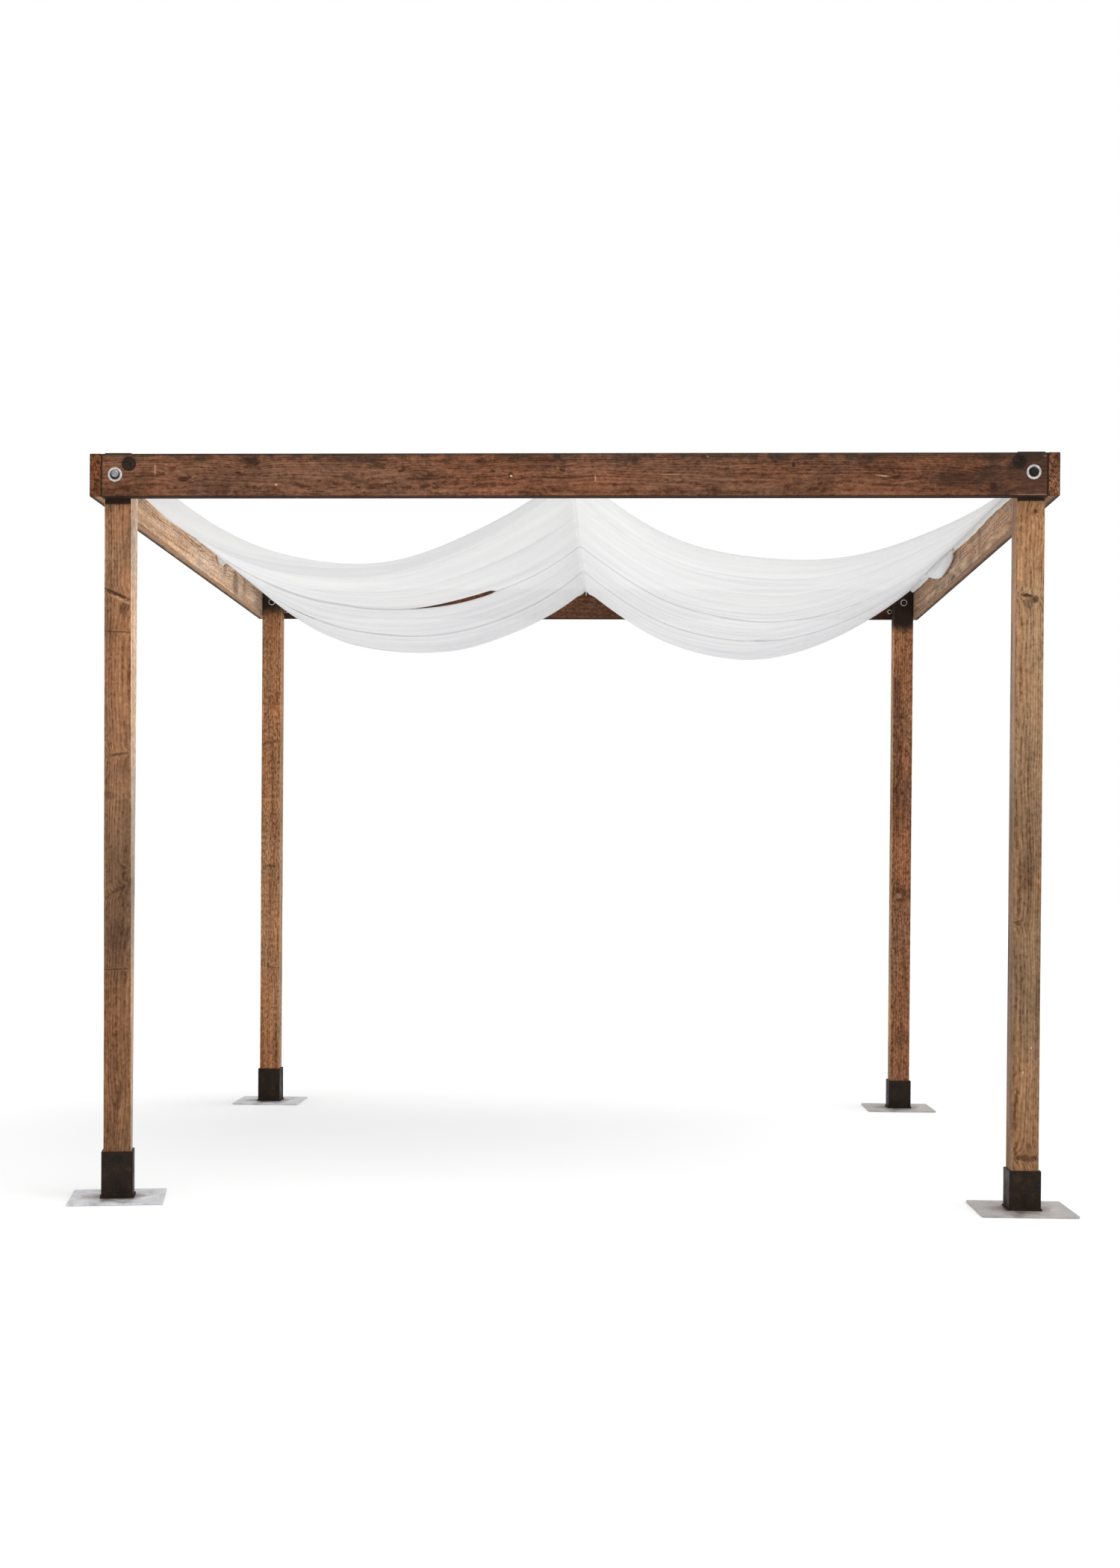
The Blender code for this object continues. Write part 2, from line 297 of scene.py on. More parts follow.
def timber(name, part, grain, face, side, pith=(0.01, 0.06), marks=(), heights=(), grime=0.35, seed=0.0,
           end=None, painted_shade_top=None, sides_spared_shade=0.0, inner_face=None, ringed=0.16, mottled=0.8):
    """A finish for one timber. face and side are the colours of its two pairs of faces, marks are knots,
    stains and scores, and heights are (along, lightness) down its length. painted_shade_top is (start, full,
    depth, ragged) of the black at a post's top, which is painted shade under and behind the planks, and
    inner_face is the side and the colour of an unstained face."""
    look, tree, shader = plain(name, face, 0.78)
    shader.inputs["Specular IOR Level"].default_value = 0.12
    turn = TURNS[grain]
    location = -(turn @ Vector(middle(part)))
    coordinates = tree.nodes.new("ShaderNodeTexCoord")
    place = put(tree, "Mapping", Vector=coordinates.outputs["Object"], Rotation=turn.to_euler(),
                Location=location)
    normal = put(tree, "Mapping", Vector=coordinates.outputs["Normal"], Rotation=turn.to_euler())
    moved = vector(tree, "ADD", place, (seed * 1.7, seed * 0.9, seed * 3.1))
    sideward, deep, along = (put(tree, "SeparateXYZ", i, Vector=place) for i in (0, 1, 2))
    normal_across, normal_along = (put(tree, "SeparateXYZ", i, Vector=normal) for i in (0, 2))

    # Knots, stains and scores tint the wood, and the darker ones also push the rings aside a little. The
    # tints are kept as one running maximum for the dark marks and one for the pale ones.
    wobble = vector(tree, "SUBTRACT", noise(tree, moved, (70, 70, 38), 3.0, output=1), (0.5, 0.5, 0.5))
    wobble = vector(tree, "MULTIPLY", wobble, (1.5, 1.5, 1.5))
    swell, tints = None, {}
    for spot, radii, tilt, dark in marks:
        reach = patch(tree, place, wobble, spot, radii, tilt)
        tint = smooth_step(tree, reach, 0.50, 1.30, abs(dark), 0.0)
        is_dark = dark > 0
        tints[is_dark] = calc(tree, "MAXIMUM", tints[is_dark], tint) if is_dark in tints else tint
        if dark > 0.45:
            near = times(tree, calc(tree, "EXPONENT", times(tree, reach, -0.8)), dark * 0.02)
            swell = near if swell is None else plus(tree, swell, near)

    # Rings about the pith, bent by low noise and by the knots.
    bend = vector(tree, "SUBTRACT", noise(tree, moved, (2.5, 2.5, 1.1), 3.0, output=1), (0.5, 0.5, 0.5))
    bent = vector(tree, "ADD", vector(tree, "MULTIPLY", bend, (0.05, 0.05, 0.0)), place)
    from_pith = vector(tree, "MULTIPLY", vector(tree, "SUBTRACT", bent, (*pith, 0.0)), (1.0, 1.0, 0.0))
    radius = vector(tree, "LENGTH", from_pith, output=1)
    if swell:
        radius = plus(tree, radius, swell)
    shake = noise(tree, moved, (90, 90, 6), 3.0)
    turns = plus(tree, times(tree, radius, 2 * math.pi / RING_SPACING), times(tree, shake, 4.0))
    rings = calc(tree, "MULTIPLY_ADD", calc(tree, "SINE", turns), 0.5, 0.5)

    fibres = noise(tree, moved, (420, 420, 12), 4.0, 0.68)
    streaks = noise(tree, moved, (60, 60, 1.6), 5.0, 0.62)
    blotches = noise(tree, moved, (11, 11, 4.6), 5.0, 0.66)
    mottle = noise(tree, moved, (105, 105, 62), 4.0, 0.7)
    figure = plus(tree, times(tree, rings, ringed), times(tree, streaks, 0.70))
    figure = plus(tree, figure, times(tree, fibres, 0.42))
    figure = plus(tree, figure, times(tree, mottle, mottled))
    balance = ringed * 0.5 + 0.35 + 0.21 + 0.5 * mottled
    shade = ramp(tree, calc(tree, "SUBTRACT", figure, balance - 0.5), (0.28, (0.42, 0.34, 0.28)),
                 (0.50, (0.94, 0.92, 0.91)), (0.72, (1.42, 1.46, 1.48)))

    # Which way a face looks picks its colour: front, side, unstained inner side, or end.
    sideways = calc(tree, "GREATER_THAN", calc(tree, "ABSOLUTE", normal_across), FACES_ALONG)
    colour = layer(tree, sideways, face, side)
    if inner_face:
        direction, inner_colour = inner_face
        inward = calc(tree, "GREATER_THAN", times(tree, normal_across, direction), FACES_ALONG)
        colour = layer(tree, inward, colour, inner_colour)
    endwise = calc(tree, "GREATER_THAN", calc(tree, "ABSOLUTE", normal_along), FACES_ALONG)
    end_figure = plus(tree, times(tree, mottle, 0.9), times(tree, rings, 0.28))
    end_figure = plus(tree, end_figure, times(tree, blotches, 0.5))
    end_colour = end or face
    end_dark, end_pale = (tuple(share * level for level in end_colour) for share in (0.30, 2.3))
    end_tone = ramp(tree, calc(tree, "SUBTRACT", end_figure, 0.34), (0.34, end_dark), (0.52, end_colour),
                    (0.68, end_pale))
    rim = swing(tree, mottle, 0.006)
    rim = plus(tree, calc(tree, "ABSOLUTE", sideward), rim)
    rim = smooth_step(tree, rim, 0.0150, 0.0180, 0.0, 0.85 if end else 0.0)
    end_tone = layer(tree, rim, end_tone, paint(38, 25, 18))
    colour = layer(tree, endwise, colour, end_tone)
    colour = layer(tree, 1.0, colour, shade, "MULTIPLY")
    redness = noise(tree, moved, (5, 5, 1.9), 3.0)
    redness = ramp(tree, redness, (0.36, (0.93, 0.99, 1.04)), (0.64, (1.07, 0.985, 0.91)))
    colour = layer(tree, 1.0, colour, redness, "MULTIPLY")
    weather = ramp(tree, blotches, (0.33, 1.0 - grime), (0.50, 0.95), (0.68, 1.0 + 0.5 * grime))
    colour = layer(tree, 1.0, colour, weather, "MULTIPLY")
    if heights:
        bottom, top = heights[0][0], heights[-1][0]
        fraction = put(tree, "MapRange", Value=along, From_Min=bottom, From_Max=top)
        tone = ramp(tree, fraction, *[((z - bottom) / (top - bottom), level) for z, level in heights])
        colour = layer(tree, 1.0, colour, tone, "MULTIPLY")
    for is_dark in sorted(tints, reverse=True):
        tint_colour = paint(48, 29, 19) if is_dark else paint(206, 166, 134)
        colour = layer(tree, tints[is_dark], colour, tint_colour)

    # Fine checks along the grain, and painted shade in black at the top of a post, under and behind the
    # planks.
    cracks = noise(tree, moved, (130, 130, 2.2), 2.0, 0.5)
    cracks = ramp(tree, cracks, (0.0, 0.0), (0.488, 0.0), (0.5, 1.0), (0.512, 0.0), ease="LINEAR")
    gate = ramp(tree, noise(tree, moved, (14, 14, 5), 1.0), (0.52, 0.0), (0.62, 1.0))
    crack = times(tree, cracks, gate)
    colour = layer(tree, times(tree, crack, 0.6), colour, paint(40, 24, 17))
    if painted_shade_top:
        start, full, depth, ragged = painted_shade_top
        edge = plus(tree, along, swing(tree, blotches, ragged))
        black = smooth_step(tree, edge, start, full, 0.0, depth)
        black = times(tree, black, calc(tree, "SUBTRACT", 1.0, times(tree, sideways, sides_spared_shade)))
        colour = layer(tree, black, colour, paint(34, 27, 22))
    join(tree, colour, shader.inputs["Base Color"])
    relief = plus(tree, times(tree, rings, 0.4), times(tree, fibres, 0.8))
    relief = calc(tree, "SUBTRACT", relief, times(tree, crack, 1.2))
    join(tree, put(tree, "Bump", Strength=0.35, Distance=0.0008, Height=relief), shader.inputs["Normal"])
    join(tree, ramp(tree, fibres, (0.3, 0.90), (0.7, 0.74)), shader.inputs["Roughness"])
    return {"look": look, "tree": tree, "shader": shader, "moved": moved, "colour": colour, "deep": deep,
            "along": along, "across": sideward}


def dress(part, finish):
    """Puts a finish on a part that stays as it is."""
    nodes[part].material_slots[0].link = "OBJECT"
    nodes[part].material_slots[0].material = finish


print("timber finish ready")

# %% [markdown]
# ## Posts
# Each post has its own timber: the left front one is browner with a leaning knot below the plank, the
# right front one is redder, and both rear ones turn black with painted shade where the planks meet them.
# Both front ones carry a band of painted shadow on their fronts just under the plank. The colours are
# those of its front and of its sides. A few knots are set where the wood shows them: each row is the
# place across from the middle, the height above the ground, the two radii, the lean and the strength.

# %% Posts
post_middle = posts["post_front_left"][2]
plank_line = plank_foot - post_middle
POSTS = {
    "post_front_left": dict(
        face=paint(146, 107, 78), side=paint(214, 186, 162), pith=(0.05, 0.075), seed=1.3, grime=0.34,
        # A band of painted shadow on the front, just under the plank; the sides are spared.
        sides_spared_shade=1.0, painted_shade_top=(plank_line - 0.022, plank_line - 0.013, 0.96, 0.01),
        marks=[(0.000, 1.984, 0.046, 0.0065, 24, 0.85), (0.022, 1.938, 0.022, 0.028, 10, 0.52),
               (0.008, 1.968, 0.040, 0.005, 24, -0.34), (0.0, 1.862, 0.050, 0.0026, 2, 0.62),
               (0.010, 1.462, 0.034, 0.005, -8, 0.60), (0.022, 1.425, 0.020, 0.030, 8, 0.34),
               (-0.020, 1.325, 0.028, 0.012, 14, 0.40), (0.006, 1.018, 0.036, 0.008, -30, 0.52),
               (0.026, 1.09, 0.012, 0.006, 0, 0.55), (0.0, 0.86, 0.034, 0.075, 4, 0.34),
               (0.0, 0.757, 0.050, 0.0024, -3, 0.60), (0.010, 0.33, 0.010, 0.085, 9, 0.52),
               (-0.016, 0.24, 0.016, 0.050, -12, 0.30)],
        heights=((-1.22, 0.66), (-0.55, 0.74), (-0.46, 0.62), (-0.2, 0.58), (0.15, 0.86), (0.5, 1.0),
                 (1.22, 1.06))),
    "post_front_right": dict(
        face=paint(163, 126, 93), side=paint(162, 131, 107), pith=(-0.06, 0.07), seed=4.2, grime=0.28,
        # A band of painted shadow on the front, just under the plank; the sides are spared.
        sides_spared_shade=1.0, painted_shade_top=(plank_line - 0.012, plank_line - 0.006, 0.95, 0.008),
        marks=[(0.014, 2.254, 0.0080, 0.008, 0, 0.85), (-0.008, 1.984, 0.022, 0.006, 10, 0.90),
               (0.018, 1.972, 0.010, 0.012, -30, 0.80), (-0.004, 1.960, 0.022, 0.016, 0, 0.38),
               (-0.030, 0.93, 0.016, 0.008, 20, 0.55), (0.0, 1.10, 0.032, 0.055, 0, 0.30),
               (0.006, 0.175, 0.040, 0.012, 4, 0.66), (0.012, 0.205, 0.010, 0.020, 0, 0.45),
               (-0.010, 0.45, 0.004, 0.006, 0, -0.8), (0.016, 0.53, 0.004, 0.004, 0, -0.8)],
        heights=((-1.22, 0.74), (-0.5, 0.66), (0.0, 0.68), (0.35, 1.02), (0.8, 1.04), (1.22, 0.98))),
    "post_rear_left": dict(
        face=paint(160, 114, 80), side=paint(172, 134, 102), pith=(0.07, 0.08), seed=7.7, grime=0.38,
        # Painted shade in black at the top, where the planks meet the post.
        mottled=1.6, painted_shade_top=(plank_line - 0.03, plank_line + 0.05, 0.96, 0.05),
        marks=[(0.0, 1.70, 0.040, 0.010, -14, 0.50), (0.022, 1.90, 0.012, 0.050, 12, 0.40),
               (-0.012, 1.86, 0.012, 0.090, 14, 0.28), (0.0, 1.115, 0.034, 0.007, 5, 0.55),
               (0.012, 1.36, 0.018, 0.006, 20, 0.50), (0.0, 0.64, 0.036, 0.006, 12, 0.45)],
        heights=((-1.22, 0.94), (0.0, 0.98), (0.6, 1.0), (1.22, 0.84))),
    "post_rear_right": dict(
        face=paint(130, 90, 64), side=paint(166, 132, 102), pith=(-0.07, 0.07), seed=9.1, grime=0.44,
        # Painted shade in black at the top, where the planks meet the post.
        mottled=1.5, painted_shade_top=(plank_line - 0.080, plank_line - 0.030, 0.97, 0.06),
        marks=[(0.014, 1.45, 0.012, 0.120, 6, 0.34), (-0.010, 1.83, 0.034, 0.008, 6, 0.36),
               (0.0, 1.02, 0.036, 0.018, 10, 0.46), (-0.014, 0.995, 0.014, 0.012, 0, -0.22),
               (0.020, 0.62, 0.010, 0.150, -3, 0.40), (-0.016, 1.55, 0.014, 0.10, 0, 0.34)],
        heights=((-1.22, 0.95), (0.0, 0.96), (1.22, 1.05))),
}
for part, words in POSTS.items():
    words["marks"] = [on_post(*mark) for mark in words["marks"]]
    dress(part, timber(part + "_wood", part, "Z", **words)["look"])
print("posts dressed:", sorted(posts))

# %% [markdown]
# ## Planks
# The planks carry a darker, redder stain. The front one is scuffed: black damp marks from its top edge, a
# dark right end, and pale nicks where it was knocked. All four have painted shade along their lower edges,
# and the rear one has painted shade towards both ends, in the corners by the posts. The inner faces of the
# side planks never had sun or stain on them and are pale, so those two faces get a colour of their own. Each
# row of marks is the place along from the middle, the height above the middle, the two radii, the lean, the
# strength and, for an inner face, which face it is on.

# %% Planks
def scuffs_and_shade(wood, top_damp, nicks, right_dark=0.0, under=None, below_colour=None):
    """Adds damp marks that run down from the top edge, pale nicks, a dark right end and painted shade along
    the lower edge to a plank's finish. A side plank has no dark joint line at its ends. Its underside has
    below_colour, and is darker towards the side that under gives."""
    tree, colour = wood["tree"], wood["colour"]
    streaky = noise(tree, wood["moved"], (18, 18, 13), 5.0, 0.68)
    depth = plus(tree, wood["deep"], swing(tree, streaky, 0.15))
    colour = layer(tree, smooth_step(tree, depth, 0.040, 0.078, 0.0, top_damp), colour, paint(50, 40, 33))
    marks = ramp(tree, noise(tree, wood["moved"], (34, 34, 11), 4.0, 0.62), (0.58, 0.0), (0.68, 1.0))
    colour = layer(tree, times(tree, marks, 0.55 * top_damp), colour, paint(46, 33, 27))
    if right_dark:
        shore = plus(tree, wood["along"], swing(tree, streaky, 1.0))
        colour = layer(tree, smooth_step(tree, shore, 1.20, 1.44, 0.0, right_dark), colour, paint(52, 37, 30))
    if under is None:
        length = calc(tree, "ABSOLUTE", wood["along"])
        colour = layer(tree, smooth_step(tree, length, 1.5195, 1.5225, 0.0, 0.9), colour, paint(30, 20, 15))
    # Painted shade along the lower edge.
    lower = smooth_step(tree, wood["deep"], -0.0692, -0.0635, 0.3 if under else 0.8, 0.0)
    colour = layer(tree, lower, colour, paint(36, 24, 19))
    upper = smooth_step(tree, wood["deep"], 0.0615, 0.0690, 0.0, 0.8 * top_damp)
    colour = layer(tree, upper, colour, paint(48, 40, 31))
    if under:
        below = calc(tree, "LESS_THAN", wood["deep"], -0.0697)
        outward = calc(tree, "MULTIPLY_ADD", wood["across"], under, times(tree, streaky, 0.024))
        outward = smooth_step(tree, outward, 0.006, 0.024, 0.0, 1.0)
        pale = layer(tree, outward, below_colour, paint(56, 39, 28))
        colour = layer(tree, below, colour, pale)
    spread = vector(tree, "MULTIPLY", wood["moved"], (34.0, 34.0, 13.0))
    voronoi = tree.nodes.new("ShaderNodeTexVoronoi")
    voronoi.inputs["Scale"].default_value = 1.0
    tree.links.new(spread, voronoi.inputs["Vector"])
    chip = put(tree, "MapRange", Value=voronoi.outputs["Distance"], From_Min=0.05, From_Max=0.13,
               To_Min=1.0, To_Max=0.0)
    for channel, above, strength, chip_colour in ((0, 1 - nicks, 0.75, paint(178, 138, 112)),
                                                  (1, 0.80, 0.8, paint(34, 20, 14))):
        draw = put(tree, "SeparateColor", channel, Color=voronoi.outputs["Color"])
        chosen = calc(tree, "GREATER_THAN", draw, above)
        colour = layer(tree, times(tree, times(tree, chip, chosen), strength), colour, chip_colour)
    join(tree, colour, wood["shader"].inputs["Base Color"])


dark_stain = paint(116, 78, 57)
end_grain_left = paint(101, 59, 35)
end_grain_right = paint(114, 75, 52)
PLANKS = {
    "plank_front": (dict(
        grain="X", face=paint(87, 61, 46), end=end_grain_left, pith=(0.09, -0.05), seed=2.4, grime=0.34,
        mottled=1.1,
        marks=[(-1.033, 0.046, 0.034, 0.016, 0, 0.85), (-1.323, 0.004, 0.010, 0.005, 0, 0.70),
               (-1.293, 0.019, 0.014, 0.010, 0, 0.50), (-1.254, -0.013, 0.020, 0.010, 0, 0.85),
               (-1.378, -0.003, 0.022, 0.030, 0, 0.34), (-1.348, 0.019, 0.004, 0.020, 0, -0.35),
               (-1.281, -0.040, 0.006, 0.004, 0, 0.75), (-1.077, 0.007, 0.009, 0.0045, 0, 0.85),
               (-0.952, -0.031, 0.0045, 0.0035, 0, -0.9), (-0.770, -0.041, 0.022, 0.004, 0, 0.60),
               (-0.718, -0.008, 0.018, 0.009, 0, 0.45), (-0.687, -0.040, 0.009, 0.004, 15, 0.80),
               (-0.613, 0.030, 0.024, 0.009, 0, 0.60), (-0.546, 0.012, 0.011, 0.005, -12, 0.85),
               (-0.466, -0.036, 0.012, 0.004, 0, 0.65), (-0.452, 0.0, 0.009, 0.005, 0, 0.60),
               (-0.402, 0.045, 0.020, 0.012, 0, 0.50), (-0.289, 0.044, 0.022, 0.014, 0, 0.62),
               (-0.250, 0.011, 0.007, 0.004, 0, 0.75), (-0.191, -0.002, 0.010, 0.009, 0, 0.95),
               (-0.190, -0.004, 0.0052, 0.0042, 0, -1.0), (-0.045, 0.059, 0.012, 0.008, 0, 0.85),
               (-0.024, 0.015, 0.009, 0.005, 0, 0.80), (0.081, -0.012, 0.0025, 0.010, 0, -0.55),
               (0.205, 0.044, 0.012, 0.011, 0, 0.60), (0.325, 0.0, 0.036, 0.0016, 0, -0.40),
               (0.441, 0.058, 0.004, 0.003, 0, -0.70), (0.504, 0.018, 0.016, 0.005, 0, 0.60),
               (0.513, -0.006, 0.055, 0.0025, 0, 0.50), (0.623, -0.006, 0.030, 0.009, 0, 0.36),
               (0.716, 0.030, 0.007, 0.006, 0, 0.95), (0.939, 0.046, 0.032, 0.016, 0, 0.50),
               (0.813, -0.024, 0.040, 0.028, 0, 0.34), (1.001, -0.005, 0.022, 0.0025, 6, -0.60),
               (1.045, -0.010, 0.020, 0.008, -8, 0.60), (1.243, -0.018, 0.080, 0.030, 0, 0.55),
               (1.334, 0.008, 0.030, 0.026, 0, 0.55), (1.353, -0.042, 0.015, 0.014, 20, 0.95),
               (1.431, 0.042, 0.012, 0.0035, 14, -0.90), (1.483, 0.055, 0.050, 0.018, 0, 0.60),
               (1.483, -0.0655, 0.075, 0.0024, 0, -0.85)],
        heights=((-1.53, 0.97), (-1.1, 1.04), (-0.5, 1.14), (0.4, 1.04), (0.95, 0.94), (1.53, 0.80))),
        dict(top_damp=0.8, nicks=0.16, right_dark=0.62)),
    "plank_rear": (dict(
        grain="X", face=paint(80, 54, 41), end=end_grain_right, pith=(-0.09, 0.06), seed=5.6, grime=0.36,
        mottled=1.4, inner_face=(-1.0, paint(92, 60, 42)),
        marks=[],
        # Darker towards both ends: painted shade in the corners by the posts.
        heights=((-1.53, 0.40), (-1.34, 0.5), (-1.1, 1.0), (1.1, 1.0), (1.34, 0.5), (1.53, 0.40))),
        dict(top_damp=0.5, nicks=0.05)),
    "plank_left": (dict(
        grain="Y", face=paint(112, 78, 56), end=end_grain_left, pith=(0.09, 0.05), seed=8.2, grime=0.24,
        inner_face=(-1.0, paint(206, 174, 146)),
        marks=[(0.50, 0.02, 0.045, 0.055, 8, 0.42), (0.74, -0.01, 0.060, 0.070, -8, 0.48),
               (0.95, 0.0, 0.030, 0.060, 0, 0.30), (1.34, 0.0, 0.110, 0.060, 0, 0.22),
               (-0.35, 0.0, 0.05, 0.03, 20, 0.14)],
        heights=((-1.53, 1.0), (-0.9, 1.06), (0.0, 1.40), (0.45, 1.30), (0.95, 1.04), (1.53, 0.88))),
        dict(top_damp=0.12, nicks=0.05, under=1.0, below_colour=paint(160, 124, 96))),
    "plank_right": (dict(
        grain="Y", face=paint(104, 72, 52), end=end_grain_right, pith=(-0.09, -0.05), seed=3.5, grime=0.30,
        inner_face=(1.0, paint(176, 147, 122)),
        marks=[(-0.95, 0.0, 0.020, 0.05, 0, 0.30, PLANK_FACE), (-0.30, 0.0, 0.040, 0.06, 0, 0.30, PLANK_FACE),
               (0.12, 0.02, 0.025, 0.05, 0, 0.30, PLANK_FACE),
               (0.30, -0.055, 0.06, 0.012, 0, 0.60, PLANK_FACE)],
        heights=((-1.53, 0.80), (-0.5, 1.10), (0.3, 1.26), (0.9, 0.92), (1.53, 0.76))),
        dict(top_damp=0.12, nicks=0.05, under=-1.0, below_colour=paint(128, 98, 74))),
}
for part, (words, scuffed) in PLANKS.items():
    words["marks"] = [on_plank(*mark) for mark in words["marks"]]
    wood = timber(part + "_wood", part, side=dark_stain, **words)
    scuffs_and_shade(wood, **scuffed)
    dress(part, wood["look"])
print("planks dressed")

# %% [markdown]
# ## Steel
# The feet are raw steel. The tubes have gone near black with brown speckles, and the plates are bare grey
# steel that scratches pale, dulls, and rusts round the weld. Rust here is a distance from the tube's foot,
# broken up by noise. Bolts and washers are zinc, which is a bright grey with a faint spangle.

# %% Steel finishes
def speckled_steel(name):
    """Near-black oxidised steel with brown and pale speckles."""
    look, tree, shader = plain(name, paint(42, 32, 26), 0.7, 0.1)
    shader.inputs["Specular IOR Level"].default_value = 0.15
    place = put(tree, "TexCoord", 3)
    coarse = noise(tree, place, (30, 30, 22), 4.0, 0.62)
    fine = noise(tree, place, (420, 420, 420), 3.0, 0.6)
    colour = ramp(tree, coarse, (0.34, paint(22, 17, 13)), (0.52, paint(35, 26, 19)),
                  (0.70, paint(54, 40, 29)))
    flecks = ramp(tree, fine, (0.60, 0.0), (0.72, 1.0))
    colour = layer(tree, times(tree, flecks, 0.5), colour, paint(112, 88, 70))
    join(tree, colour, shader.inputs["Base Color"])
    join(tree, ramp(tree, coarse, (0.35, 0.5), (0.7, 0.85)), shader.inputs["Roughness"])
    join(tree, put(tree, "Bump", Strength=0.4, Distance=0.0006, Height=fine), shader.inputs["Normal"])
    return look


def bare_plate(name, part, grey, rust):
    """Bare plate steel: grey with rubbed scratches, and rust spreading from the tube in the middle."""
    look, tree, shader = plain(name, grey, 0.45, 0.25)
    low, high = (np.array(corner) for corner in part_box(part))
    coordinates = tree.nodes.new("ShaderNodeTexCoord")
    place = put(tree, "Mapping", Vector=coordinates.outputs["Object"], Location=-Vector((low + high) / 2))
    clouds = noise(tree, place, (14, 14, 14), 5.0, 0.62)
    brushed = noise(tree, place, (18, 220, 18), 3.0, 0.6)
    colour = layer(tree, 1.0, grey, ramp(tree, clouds, (0.32, 0.62), (0.52, 0.98), (0.72, 1.25)), "MULTIPLY")
    colour = layer(tree, 0.5, colour, ramp(tree, brushed, (0.35, 0.8), (0.65, 1.15)), "MULTIPLY")
    flat = vector(tree, "MULTIPLY", place, (1.0, 1.0, 0.0))
    reach = plus(tree, vector(tree, "LENGTH", flat, output=1), swing(tree, clouds, 0.16))
    rusty = smooth_step(tree, reach, 0.055, 0.125, rust, 0.0)
    colour = layer(tree, rusty, colour, paint(118, 94, 74))
    spots = ramp(tree, noise(tree, place, (60, 60, 60), 4.0, 0.6), (0.60, 0.0), (0.68, 1.0))
    colour = layer(tree, times(tree, spots, 0.45), colour, paint(104, 84, 68))
    join(tree, colour, shader.inputs["Base Color"])
    join(tree, ramp(tree, clouds, (0.3, 0.38), (0.7, 0.68)), shader.inputs["Roughness"])
    join(tree, put(tree, "Bump", Strength=0.2, Distance=0.0005, Height=brushed), shader.inputs["Normal"])
    return look


def zinc(name, colour, roughness):
    """Zinc-plated hardware: a bright grey with a faint spangle."""
    look, tree, shader = plain(name, colour, roughness, 0.75)
    place = put(tree, "TexCoord", 3)
    spangle = noise(tree, place, (160, 160, 160), 2.0, 0.5)
    shine = ramp(tree, spangle, (0.35, 0.8), (0.65, 1.12))
    join(tree, layer(tree, 1.0, colour, shine, "MULTIPLY"), shader.inputs["Base Color"])
    dullness = ramp(tree, spangle, (0.35, roughness - 0.08), (0.65, roughness + 0.12))
    join(tree, dullness, shader.inputs["Roughness"])
    return look


dark_steel = speckled_steel("dark_steel")
bright_zinc = zinc("bright_zinc", paint(200, 198, 198), 0.42)
# This dark finish also serves for the painted shade in the washers' holes.
dull_bolt_and_shade = zinc("dull_bolt_and_shade", paint(44, 36, 31), 0.62)
for name in nodes:
    if name.startswith("shoe_"):
        dress(name, dark_steel)
    elif name.startswith("plate_"):
        grey = paint(206, 206, 209) if name.endswith("left") else paint(172, 167, 163)
        dress(name, bare_plate(name + "_steel", name, grey, 0.75))
    elif name.startswith("eye_"):
        dress(name, bright_zinc)
    elif name == "middle_wire":
        dress(name, plain("white_coating", (0.80, 0.80, 0.80), 0.5)[0])
print("steel finishes:", dark_steel.name, bright_zinc.name, dull_bolt_and_shade.name)

# %% [markdown]
# ## Making a piece from arrays
# A numpy grid of points becomes a mesh with one face for each cell. These helpers number the cells, place a
# shape on the object, and give the piece what the frame asks for: the body that it moves with, and its
# material slot.

# %% Helpers for pieces
def cells(rows, columns, wrap_rows=False, wrap_columns=False):
    """The quads of a grid of points in row order. A wrapped direction joins its last line to its first."""
    row_count = rows if wrap_rows else rows - 1
    column_count = columns if wrap_columns else columns - 1
    r, c = np.meshgrid(np.arange(row_count), np.arange(column_count), indexing="ij")
    below, beside = (r + 1) % rows, (c + 1) % columns
    corners = (r * columns + c, r * columns + beside, below * columns + beside, below * columns + c)
    return np.stack([corner.ravel() for corner in corners], 1)


def gather(shapes):
    """Several (points, quads) as one pair."""
    points, quads, start = [], [], 0
    for some_points, some_quads in shapes:
        points.append(some_points)
        quads.append(some_quads + start)
        start += len(some_points)
    return np.concatenate(points), np.concatenate(quads)


def piece(name, shape, look, smooth=35, uv=None, shade_and_bunching=None):
    """One object from (points, quads), riding on the root, with its place in its mesh. A sheet of cloth also
    has its UV map, and as an attribute called gather how far each point is doubled or drawn together, with
    painted shade and painted light added."""
    points, quads = shape
    mesh = bpy.data.meshes.new(name)
    mesh.vertices.add(len(points))
    mesh.vertices.foreach_set("co", np.ascontiguousarray(points, np.float32).ravel())
    mesh.loops.add(quads.size)
    mesh.loops.foreach_set("vertex_index", quads.astype(np.int32).ravel())
    mesh.polygons.add(len(quads))
    mesh.polygons.foreach_set("loop_start", np.arange(0, quads.size, 4, dtype=np.int32))
    mesh.update(calc_edges=True)
    mesh.validate()
    if uv is not None:
        uv_map = mesh.uv_layers.new(name="cloth")
        uv_map.data.foreach_set("uv", np.ascontiguousarray(uv[quads.ravel()], np.float32).ravel())
        shade_and_gathering = mesh.attributes.new("gather", "FLOAT", "POINT")
        shade_and_gathering.data.foreach_set("value", np.ascontiguousarray(shade_and_bunching, np.float32).ravel())
    mesh.shade_smooth()
    mesh.set_sharp_from_angle(angle=math.radians(smooth))
    mesh.materials.append(look)
    made = bpy.data.objects.new(name, mesh)
    bpy.context.scene.collection.objects.link(made)
    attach(made, "root")
    return made


